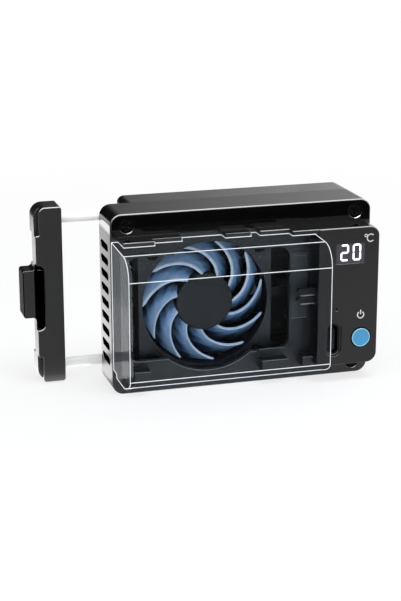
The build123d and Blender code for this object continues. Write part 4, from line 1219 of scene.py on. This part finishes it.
@dataclass
class Studio:
    """The camera, the pale floor and the soft lights."""

    camera_place: Point = (-0.1321, -0.4366, 0.1248)
    camera_target: Point = (-0.01276, -0.0250, -0.00034)
    roll: float = -0.12
    lens: float = 93.10
    floor_side: float = 8.0
    floor_gap: float = 0.05 * MM
    fade: Pair = (0.08, 0.32)
    near_glow: float = 0.74

    def place_camera(self) -> None:
        """Stand the camera where the photograph was taken from."""
        data = bpy.data.cameras.new("camera")
        data.lens = self.lens
        data.clip_start = 0.01
        camera = add_object("camera", data)
        roll = Matrix.Rotation(math.radians(self.roll), 4, "Z")
        camera.matrix_world = aimed(self.camera_place, self.camera_target) @ roll
        bpy.context.scene.camera = camera

    def lay_floor(self) -> None:
        """Lay the pale floor that the fan stands on, which fades to white away from it."""
        material = new_material("paper_white_floor")
        tree = material.node_tree
        paper = add_node(tree, "ShaderNodeBsdfDiffuse", inputs={"Color": linear("#f3f5f7")})
        glow = add_node(tree, "ShaderNodeEmission", inputs={"Color": linear("#ffffff"), "Strength": 1.0})
        place = add_node(tree, "ShaderNodeTexCoord").outputs["Object"]
        away = add_node(tree, "ShaderNodeVectorMath", {"operation": "LENGTH"}, {0: place}).outputs["Value"]
        level = add_node(
            tree,
            "ShaderNodeMapRange",
            inputs={
                "Value": away,
                "From Min": self.fade[0],
                "From Max": self.fade[1],
                "To Min": self.near_glow,
                "To Max": 1.0,
            },
        )
        share = add_node(
            tree, "ShaderNodeMath", {"operation": "MULTIPLY"}, {0: background_share(tree), 1: level.outputs["Result"]}
        )
        mixed = add_node(
            tree,
            "ShaderNodeMixShader",
            inputs={0: share.outputs[0], 1: paper.outputs["BSDF"], 2: glow.outputs["Emission"]},
        )
        close_material(tree, mixed.outputs["Shader"])
        place = Matrix.Translation((0, 0, CAD_BOX[0].z - self.floor_gap))
        floor = flat_sheet("floor", place, (self.floor_side, self.floor_side), material)

    def light_world(self) -> None:
        """Fill the room with an even soft light, with a white background."""
        world = bpy.data.worlds.new("studio")
        world.use_nodes = True
        tree = world.node_tree
        tree.nodes.clear()
        room = add_node(tree, "ShaderNodeBackground", inputs={"Color": linear("#ffffff"), "Strength": 0.5})
        white = add_node(tree, "ShaderNodeBackground", inputs={"Color": linear("#ffffff"), "Strength": 1.0})
        mixed = add_node(
            tree,
            "ShaderNodeMixShader",
            inputs={0: background_share(tree), 1: room.outputs["Background"], 2: white.outputs["Background"]},
        )
        add_node(tree, "ShaderNodeOutputWorld", inputs={"Surface": mixed.outputs["Shader"]})
        bpy.context.scene.world = world

    def build(self) -> None:
        """Set up the whole studio."""
        bpy.context.scene.view_settings.view_transform = "Standard"
        self.place_camera()
        self.lay_floor()
        self.light_world()
        for softbox in SOFTBOXES:
            softbox.hang()
        for card in CARDS:
            card.hang(CAD_BOX[0].z)


@dataclass
class Fan:
    """The turning half of the fan: hub and swept blades, round its axle."""

    shop: Workshop
    blade_count: int = 11
    hub_radius: float = 8.6 * MM
    root_sink: float = 0.5 * MM
    tip_gap: float = 0.05 * MM
    sweep: float = 50.0
    sweep_curve: float = 1.25
    pitch: float = 29.0
    camber: float = 4.0
    blade_grid: tuple[int, int] = (18, 8)
    blade_thick: float = 0.7 * MM
    blade_round: float = 0.28 * MM
    cap_thick: float = 0.9 * MM
    cap_radius: float = 8.5 * MM
    cap_flat: float = 4.675 * MM
    cap_round: float = 0.5 * MM
    taper: float = 1.2 * MM
    edge_gap: float = 0.2 * MM
    edge_radius: float = 0.13 * MM
    edge_start: float = 0.08
    edge_length: float = 0.88
    edge_steps: int = 14

    def blade_angles(self) -> list[float]:
        """Each blade's angle on the hub, in degrees."""
        return [index * 360 / self.blade_count for index in range(self.blade_count)]

    def blade_point(self, start: float, along: float, back: float) -> Vector:
        """A point on a blade's middle surface.

        Args:
            start: The blade's angle on the hub, in degrees.
            along: From 0 at the hub to 1 at the tip.
            back: From 0 at the front edge to 1 at the rear edge.

        Returns:
            The point in metres.
        """
        axle_x, axle_z = middle(FAN_LOW, FAN_HIGH)
        root = self.hub_radius - self.root_sink
        tip = (FAN_HIGH.x - FAN_LOW.x) / 2 - self.tip_gap
        radius = root + (tip - root) * along
        swept = start + self.sweep * along ** self.sweep_curve
        turn = math.radians(swept - self.pitch * back + self.camber * math.sin(math.pi * back))
        depth = FAN_HIGH.y - FAN_LOW.y - 2 * self.edge_gap
        y = FAN_LOW.y + self.edge_gap + depth * back
        return Vector((axle_x + radius * math.cos(turn), y, axle_z + radius * math.sin(turn)))

    def add_blade(self, bm: BMesh, start: float) -> None:
        """Add one blade: a grid bent into a swept, cambered sheet and thickened.

        Args:
            bm: The bmesh that the blade joins.
            start: The blade's angle on the hub, in degrees.
        """
        across, deep = self.blade_grid
        verts = bmesh.ops.create_grid(bm, x_segments=across, y_segments=deep, size=0.5)["verts"]
        for vert in verts:
            vert.co = self.blade_point(start, vert.co.x + 0.5, vert.co.y + 0.5)
        faces = list({face for vert in verts for face in vert.link_faces})
        bmesh.ops.recalc_face_normals(bm, faces=faces)
        bmesh.ops.solidify(bm, geom=faces, thickness=self.blade_thick)

    def build_blades(self) -> None:
        """Build all the blades as one piece, with softened edges."""
        bm = bmesh.new()
        for start in self.blade_angles():
            self.add_blade(bm, start)
        piece = self.shop.mesh_piece("impeller_blades", bm)
        bevel = piece.modifiers.new("edge", "BEVEL")
        bevel.width = self.blade_round
        bevel.segments = 2
        bevel.limit_method = "ANGLE"
        self.shop.dress(piece, BLADE_PLASTIC, Body.IMPELLER, "impeller_black")

    def build_edge_highlights(self) -> None:
        """Build the thin pale bead along each blade's front edge: a painted highlight."""
        places = [self.edge_start + self.edge_length * i / self.edge_steps for i in range(self.edge_steps + 1)]
        lines = [
            Line([tuple(self.blade_point(start, along, 0.0)) for along in places]) for start in self.blade_angles()
        ]
        piece = self.shop.bead("impeller_edge_highlights", lines, self.edge_radius)
        self.shop.dress(piece, BLADE_EDGE_HIGHLIGHT, Body.IMPELLER, "impeller_black")

    def build_hub(self) -> None:
        """Build the hub: a flat cap with a rounded edge, over a hollow cup."""
        front, rear = FAN_LOW.y, FAN_HIGH.y
        inner = self.hub_radius - self.cap_thick
        rim = self.cap_round
        profile = [(0.0, front), (self.cap_flat, front)]
        profile += arc((self.cap_radius - rim, front + rim), rim, -90, -25, 6)
        profile += [(self.hub_radius, front + self.taper), (self.hub_radius, rear), (inner, rear)]
        profile += [(inner, front + self.taper), (self.cap_radius - self.cap_thick, front + self.cap_thick)]
        profile += [(0.0, front + self.cap_thick)]
        bm = bmesh.new()
        lathe(bm, profile, middle(FAN_LOW, FAN_HIGH))
        piece = self.shop.mesh_piece("impeller_hub", bm)
        self.shop.dress(piece, FINISHES["fan_impeller"], Body.IMPELLER, "impeller_black", "fan_impeller")

    def build(self) -> None:
        """Build the impeller's pieces."""
        self.build_blades()
        self.build_edge_highlights()
        self.build_hub()


@dataclass(frozen=True)
class Rail:
    """One rail of the case: its left and right end, and how far out of the plate it reaches, in metres."""

    left: float
    right: float
    reach: float


SHORT_REACH = 4.5 * MM
LONG_REACH = 7.5 * MM
RAILS = (
    Rail(FRAME_LEFT + 2.2 * MM, FRAME_LEFT + 10.9 * MM, LONG_REACH),
    Rail(FRAME_LEFT + 10.9 * MM, FRAME_LEFT + 19.6 * MM, SHORT_REACH),
    Rail(BLOCK_LEFT - 27.0 * MM, BLOCK_LEFT - 19.5 * MM, SHORT_REACH),
    Rail(BLOCK_LEFT - 16.7 * MM, BLOCK_LEFT - 8.0 * MM, SHORT_REACH),
    Rail(BLOCK_LEFT - 8.0 * MM, BLOCK_LEFT, LONG_REACH),
)


@dataclass
class BatteryCase:
    """Glowing white beads along the clear battery case's edges: painted highlights on its outline."""

    shop: Workshop
    top_round: float = 6.0 * MM
    top_slope: float = 0.5 * MM
    shoulder_steps: int = 10
    sill_height: float = 4.0 * MM
    sill_depth: float = 7.0 * MM
    sill_lift: float = 2.1 * MM
    sill_steps: int = 8
    groove_height: float = 1.25 * MM
    groove_depth: float = 3.8 * MM
    bead_radius: float = 0.10 * MM

    def outline(self) -> tuple[list[Pair], list[Pair], list[Pair]]:
        """Draw the case's end as depth and height pairs, in by the bead's radius in front and below.

        Returns:
            The shoulder from the top to the front, the sill from the front to the bottom, and the rear groove.
        """
        front, bottom = CASE_LOW.y + self.bead_radius, CASE_LOW.z + self.bead_radius
        centre = (front + self.top_round, CASE_HIGH.z - self.top_slope - self.top_round)
        shoulder = arc(centre, self.top_round, 90, 180, self.shoulder_steps)
        sill = []
        for i in range(self.sill_steps + 1):
            t = i / self.sill_steps
            height = (1 - t) ** 2 * self.sill_height + 2 * t * (1 - t) * self.sill_lift
            sill.append((front + self.sill_depth * t * t, bottom + height))
        wall, top = CASE_HIGH.y - self.groove_depth, bottom + self.groove_height
        return shoulder, sill, [(wall, bottom), (wall, top), (CASE_HIGH.y, top)]

    def build_beads(self) -> None:
        """Build the beads round both ends, and the four along the case where its outline turns."""
        left, right = CASE_LOW.x, CASE_HIGH.x
        shoulder, sill, groove = self.outline()
        front = [(CASE_HIGH.y, CASE_HIGH.z), *shoulder, *sill]
        lines = [
            Line([(left, y, z) for y, z in front + groove], closed=True),
            Line([(right, y, z) for y, z in front]),
        ]
        for y, z in (shoulder[0], shoulder[-1], sill[0], sill[-1]):
            lines.append(Line([(left, y, z), (right, y, z)]))
        piece = self.shop.bead("battery_case_beads", lines, self.bead_radius)
        piece.visible_glossy = False
        self.shop.dress(piece, CASE_EDGE_HIGHLIGHT, Body.BATTERY_CASE, "clear_plastic")

    def build_stepped_edge(self) -> None:
        """Build the bead along the top of the case's rear edge, which steps round the rails."""
        level, plate, gap = CASE_HIGH.z, CASE_HIGH.y, self.bead_radius
        short = PLATE_Y - SHORT_REACH - gap
        long = PLATE_Y - LONG_REACH - gap
        outer_left, inner_left, centre, inner_right, outer_right = RAILS
        steps = [
            (outer_left.left - gap, long),
            (outer_left.right + gap, short),
            (inner_left.right + gap, plate),
            (centre.left - gap, short),
            (centre.right + gap, plate),
            (inner_right.left - gap, short),
            (outer_right.left - gap, long),
        ]
        depth = plate
        points = [(CASE_LOW.x, depth, level)]
        for x, next_depth in steps:
            points += [(x, depth, level), (x, next_depth, level)]
            depth = next_depth
        points.append((CASE_HIGH.x, depth, level))
        piece = self.shop.bead("battery_case_stepped_edge", [Line(points)], self.bead_radius)
        piece.visible_glossy = False
        self.shop.dress(piece, CASE_EDGE_HIGHLIGHT, Body.BATTERY_CASE, "clear_plastic")

    def build(self) -> None:
        """Build all the case's beads."""
        self.build_beads()
        self.build_stepped_edge()


@dataclass
class RailEdges:
    """Painted highlights along the edges of the rails."""

    shop: Workshop
    edge_radius: float = 0.10 * MM
    rail_thick: float = 1.05 * MM

    def front_line(self, rail: Rail) -> list[Point]:
        """The two ends of a rail's upper front edge."""
        return [(x, PLATE_Y - rail.reach, RAIL_TOP) for x in (rail.left, rail.right)]

    def corner_line(self, rail: Rail) -> list[Point]:
        """The two ends of a rail's right front corner."""
        return [(rail.right, PLATE_Y - rail.reach, z) for z in (RAIL_TOP, RAIL_TOP - self.rail_thick)]

    def build(self) -> None:
        """Build the painted highlights along the rails' front edges and down their right corners."""
        outer_left, inner_left, centre, inner_right, outer_right = RAILS
        lines = [
            Line(self.front_line(outer_left) + self.corner_line(outer_left)[1:]),
            Line(self.corner_line(inner_left)),
            Line(self.corner_line(centre)),
            Line(self.front_line(inner_right)),
            Line(self.front_line(outer_right)),
        ]
        piece = self.shop.bead("rail_edge_highlights", lines, self.edge_radius)
        self.shop.dress(piece, RAIL_EDGE_HIGHLIGHT, Body.CASE, "case_black")


@dataclass(frozen=True)
class RingMark:
    """A printed ring that is open on one side: its place from a middle, its sizes in metres, and its gap in degrees."""

    across: float
    up: float
    radius: float
    stroke: float
    gap: float = 0.0
    opening: float = 0.0
    steps: int = 32

    def add(self, bm: BMesh, centre: Pair, film: float) -> None:
        """Add the ring to a bmesh, as a film on the control block.

        Args:
            bm: The bmesh that the ring joins.
            centre: X and Z of the middle that its place is measured from.
            film: Thickness of the ink in metres.
        """
        x, z = centre[0] + self.across, centre[1] + self.up
        back, front = BLOCK_LOW.y, BLOCK_LOW.y - film
        inner, outer = self.radius - self.stroke / 2, self.radius + self.stroke / 2
        section = [(inner, front), (outer, front), (outer, back), (inner, back)]
        if self.gap == 0.0:
            lathe(bm, section + section[:1], (x, z), self.steps)
            return
        start = math.radians(self.opening - self.gap)
        verts = [bm.verts.new((x + r * math.cos(start), y, z + r * math.sin(start))) for r, y in section]
        bmesh.ops.spin(
            bm,
            geom=[bm.faces.new(verts)],
            cent=(x, 0, z),
            axis=Axis.Y.value,
            angle=math.radians(360 - 2 * self.gap),
            steps=self.steps,
        )


@dataclass
class ControlPanel:
    """What shows on the control block: lit digits and printed marks."""

    shop: Workshop
    digit_height: float = 5.0 * MM
    digit_width: float = 2.62 * MM
    digit_pitch: float = 3.75 * MM
    digit_shift: Pair = (0.1 * MM, 0.35 * MM)
    segment_share: float = 0.98
    point_share: float = 0.85
    stroke: float = 0.58 * MM
    film: float = 0.03 * MM
    power_shift: Pair = (-0.2 * MM, 6.9 * MM)
    power_ring: RingMark = RingMark(0.0, 0.0, 0.98 * MM, 0.32 * MM, gap=35.0, opening=90.0, steps=40)
    bar_rise: float = 0.833 * MM
    bar_length: float = 1.323 * MM
    degree_shift: Pair = (1.8 * MM, 1.35 * MM)
    degree_rings: tuple[RingMark, ...] = (
        RingMark(-1.45 * MM, 0.75 * MM, 0.38 * MM, 0.22 * MM),
        RingMark(0.0, 0.0, 1.08 * MM, 0.3 * MM, gap=42.0),
    )

    def add_segment(self, bm: BMesh, centre: Point, length: float, upright: bool) -> None:
        """Add one display segment: a thin bar with pointed ends.

        Args:
            bm: The bmesh that the segment joins.
            centre: Its centre in metres.
            length: Its length, points included.
            upright: Whether it stands rather than lies.
        """
        corners = slab(bm, centre, (length, self.film, self.stroke), 90.0 if upright else 0.0)
        edges = {edge for vert in corners for edge in vert.link_edges}
        bmesh.ops.bevel(
            bm,
            geom=[e for e in edges if abs(e.verts[0].co.y - e.verts[1].co.y) > self.film / 2],
            offset=self.stroke / 2 * self.point_share,
            segments=1,
            profile=0.5,
            affect="EDGES",
            material=-1,
        )

    def build_digits(self) -> None:
        """Build the number 20 from display segments, just in front of the pane."""
        x, z = (place + shift for place, shift in zip(middle(PANE_LOW, PANE_HIGH), self.digit_shift))
        y = PANE_LOW.y - self.film / 2
        up = (self.digit_height - self.stroke) / 2
        across = (self.digit_width - self.stroke) / 2
        lying = {"top": up, "middle": 0.0, "bottom": -up}
        standing = {
            "upper_left": (-across, up / 2),
            "upper_right": (across, up / 2),
            "lower_left": (-across, -up / 2),
            "lower_right": (across, -up / 2),
        }
        two = ("top", "upper_right", "middle", "lower_left", "bottom")
        zero = ("top", "upper_right", "upper_left", "lower_right", "lower_left", "bottom")
        bm = bmesh.new()
        for lit, digit_x in ((two, x - self.digit_pitch / 2), (zero, x + self.digit_pitch / 2)):
            for name in lit:
                if name in lying:
                    centre = (digit_x, y, z + lying[name])
                    self.add_segment(bm, centre, 2 * across * self.segment_share, upright=False)
                else:
                    centre = (digit_x + standing[name][0], y, z + standing[name][1])
                    self.add_segment(bm, centre, up * self.segment_share, upright=True)
        piece = self.shop.mesh_piece("display_digits", bm)
        self.shop.dress(piece, SEGMENT_LIGHT, Body.CASE, "display_pane")

    def build_power_mark(self) -> None:
        """Build the printed power mark above the button: an open ring and a bar."""
        x, z = (place + shift for place, shift in zip(middle(BUTTON_LOW, BUTTON_HIGH), self.power_shift))
        bm = bmesh.new()
        ring = self.power_ring
        ring.add(bm, (x, z), self.film)
        slab(bm, (x, BLOCK_LOW.y - self.film / 2, z + self.bar_rise), (ring.stroke, self.film, self.bar_length))
        piece = self.shop.mesh_piece("power_mark", bm)
        self.shop.dress(piece, PAD_PRINT, Body.CASE, "control_black")

    def build_degree_mark(self) -> None:
        """Build the printed degree mark: a small ring and a letter C."""
        bm = bmesh.new()
        centre = (PANE_HIGH.x + self.degree_shift[0], PANE_HIGH.z + self.degree_shift[1])
        for ring in self.degree_rings:
            ring.add(bm, centre, self.film)
        piece = self.shop.mesh_piece("degree_mark", bm)
        self.shop.dress(piece, PAD_PRINT, Body.CASE, "control_black")

    def build(self) -> None:
        """Build the control block's dressing."""
        self.build_digits()
        self.build_power_mark()
        self.build_degree_mark()


@dataclass
class PowerButton:
    """The round blue button: a dished cap with a raised rim over a black skirt, in a black ring of painted shadow; the
    rim's paler colour is a painted highlight.
    """

    shop: Workshop
    cap_radius: float = 2.78 * MM
    rim_width: float = 0.34 * MM
    rim_deep: float = 0.30 * MM
    rim_round: float = 0.16 * MM
    dish: float = 0.26 * MM
    dish_shape: tuple[Pair, ...] = ((0.0, 1.0), (0.55, 0.9), (1.0, 0.3))
    neck_gap: float = 0.05 * MM
    # The black ring round the cap is a painted shadow of the gap.
    shadow_gap: float = 0.06 * MM
    shadow_width: float = 0.30 * MM
    shadow_film: float = 0.02 * MM
    stem_radius: float = 1.4 * MM
    stem_length: float = 0.5 * MM
    flange_thick: float = 0.7 * MM
    steps: int = 72

    def turn(self, name: str, profile: list[Pair], finish: Finish, body: Body, slot: str, *nodes: str) -> None:
        """Turn a profile round the button's axis into a dressed piece.

        Args:
            name: The piece's name.
            profile: Radius and depth of each point, in metres.
            finish: Its finish.
            body: The body that it rides on.
            slot: The record's material slot.
            nodes: CAD nodes that the piece replaces.
        """
        bm = bmesh.new()
        lathe(bm, profile, middle(BUTTON_LOW, BUTTON_HIGH), self.steps)
        piece = self.shop.mesh_piece(name, bm)
        self.shop.dress(piece, finish, body, slot, *nodes)

    def build(self) -> None:
        """Build the cap, its skirt with flange and stem, the black ring of painted shadow round it, and the rim, paler
        as a painted highlight.
        """
        front, rear = BUTTON_LOW.y, BUTTON_HIGH.y
        under = front + self.rim_deep
        inner = self.cap_radius - self.rim_width

        cap = [(inner * across, front + self.dish * deep) for across, deep in self.dish_shape]
        cap += [(inner, under), (0.0, under)]
        self.turn("power_button_cap", cap, FINISHES["power_button"], Body.BUTTON, "button_blue", "power_button")

        top = front + (self.dish + self.rim_deep) / 2
        neck = self.cap_radius - self.neck_gap
        flange = (BUTTON_HIGH.x - BUTTON_LOW.x) / 2
        flange_rear = rear - self.stem_length
        flange_front = flange_rear - self.flange_thick
        skirt = [(0.0, top), (neck, top), (neck, flange_front), (flange, flange_front), (flange, flange_rear)]
        skirt += [(self.stem_radius, flange_rear), (self.stem_radius, rear), (0.0, rear)]
        self.turn("power_button_skirt", skirt, BUTTON_SKIRT_AND_SHADOW, Body.BUTTON, "button_blue")

        # A black film ring on the block round the cap: painted shadow.
        near = self.cap_radius + self.shadow_gap
        far = near + self.shadow_width
        face, film = BLOCK_LOW.y, BLOCK_LOW.y - self.shadow_film
        shadow_ring = [(near, film), (far, film), (far, face), (near, face), (near, film)]
        self.turn("power_button_shadow_ring", shadow_ring, BUTTON_SKIRT_AND_SHADOW, Body.CASE, "control_black")

        # The rim's paler colour is a painted highlight.
        r = self.rim_round
        rim = [(inner, under), *arc((inner + r, front + r), r, -180, -90, 4)]
        rim += [*arc((self.cap_radius - r, front + r), r, -90, 0, 4), (self.cap_radius, under), (inner, under)]
        self.turn("power_button_rim", rim, BUTTON_RIM_HIGHLIGHT, Body.BUTTON, "button_blue")


@dataclass
class FrontScrews:
    """Four black pan-head screws with a cross recess, sunk in the plate's corners."""

    shop: Workshop
    edge_x: float = 4.8 * MM
    edge_z: float = 3.5 * MM
    head_radius: float = 2.0 * MM
    head_thick: float = 1.0 * MM
    dome: float = 0.35 * MM
    recess_length: float = 2.3 * MM
    recess_width: float = 0.5 * MM
    recess_depth: float = 0.45 * MM
    recess_turn: float = 12.0
    # The white arc on each screw's seat is a painted glint.
    glint_radius: float = 2.2 * MM
    glint_thick: float = 0.23 * MM
    glint_sink: float = 0.069 * MM
    glint_arc: Pair = (-104.0, -34.0)
    glint_steps: int = 16
    glint_tip: float = 0.1
    lower_glint_share: float = 0.5

    def centres(self) -> list[Pair]:
        """X and Z of the four screws."""
        x, z = FRAME_RIGHT - self.edge_x, FRAME_TOP - self.edge_z
        return [(-x, -z), (-x, z), (x, -z), (x, z)]

    def build_glints(self) -> None:
        """Build the painted glint, a bright arc on the lower right of each screw's seat."""
        lines = []
        for x, z in self.centres():
            share = 1.0 if z > 0 else self.lower_glint_share
            y = PLATE_Y + self.glint_sink
            points = [(px, y, pz) for px, pz in arc((x, z), self.glint_radius, *self.glint_arc, self.glint_steps)]
            swells = [math.sin(math.pi * index / self.glint_steps) for index in range(self.glint_steps + 1)]
            lines.append(Line(points, widths=[share * max(self.glint_tip, swell) for swell in swells]))
        piece = self.shop.bead("front_screw_glints", lines, self.glint_thick)
        piece.visible_glossy = False
        self.shop.dress(piece, SCREW_GLINT, Body.CASE, "case_screw_black")

    def build_heads(self) -> None:
        """Build the domed heads and cut their recesses."""
        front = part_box("front_screws")[0].y
        profile = [(0.0, front), *arc((self.head_radius - self.dome, front + self.dome), self.dome, -90, 0, 5)]
        profile += [(self.head_radius, front + self.head_thick), (0.0, front + self.head_thick)]
        heads = bmesh.new()
        cutters = bmesh.new()
        for x, z in self.centres():
            lathe(heads, profile, (x, z), 48)
            for width, height in ((self.recess_length, self.recess_width), (self.recess_width, self.recess_length)):
                slab(cutters, (x, front, z), (width, 2 * self.recess_depth, height), self.recess_turn)
        piece = self.shop.mesh_piece("front_screw_heads", heads)
        tool = self.shop.mesh_piece("recess_cutter", cutters)
        cut = piece.modifiers.new("recess", "BOOLEAN")
        cut.operation = "DIFFERENCE"
        cut.solver = "EXACT"
        cut.use_self = True
        cut.object = tool
        graph = bpy.context.evaluated_depsgraph_get()
        mesh = bpy.data.meshes.new_from_object(piece.evaluated_get(graph))
        piece.modifiers.clear()
        piece.data = mesh
        bpy.data.objects.remove(tool)
        self.shop.dress(piece, FINISHES["front_screws"], Body.CASE, "case_screw_black", "front_screws")

    def build(self) -> None:
        """Build the painted glints and the heads."""
        self.build_glints()
        self.build_heads()


def main() -> None:
    """Build the studio, then the fan's sub-assemblies in order."""
    logging.basicConfig(level=logging.INFO, format="%(message)s")
    Studio().build()
    shop = Workshop()
    shop.dress_cad_nodes()
    for assembly in (
        Fan(shop), BatteryCase(shop), RailEdges(shop), ControlPanel(shop), PowerButton(shop), FrontScrews(shop)
    ):
        assembly.build()
    LOG.info("%d pieces made", shop.made)


if __name__ == "__main__":
    main()
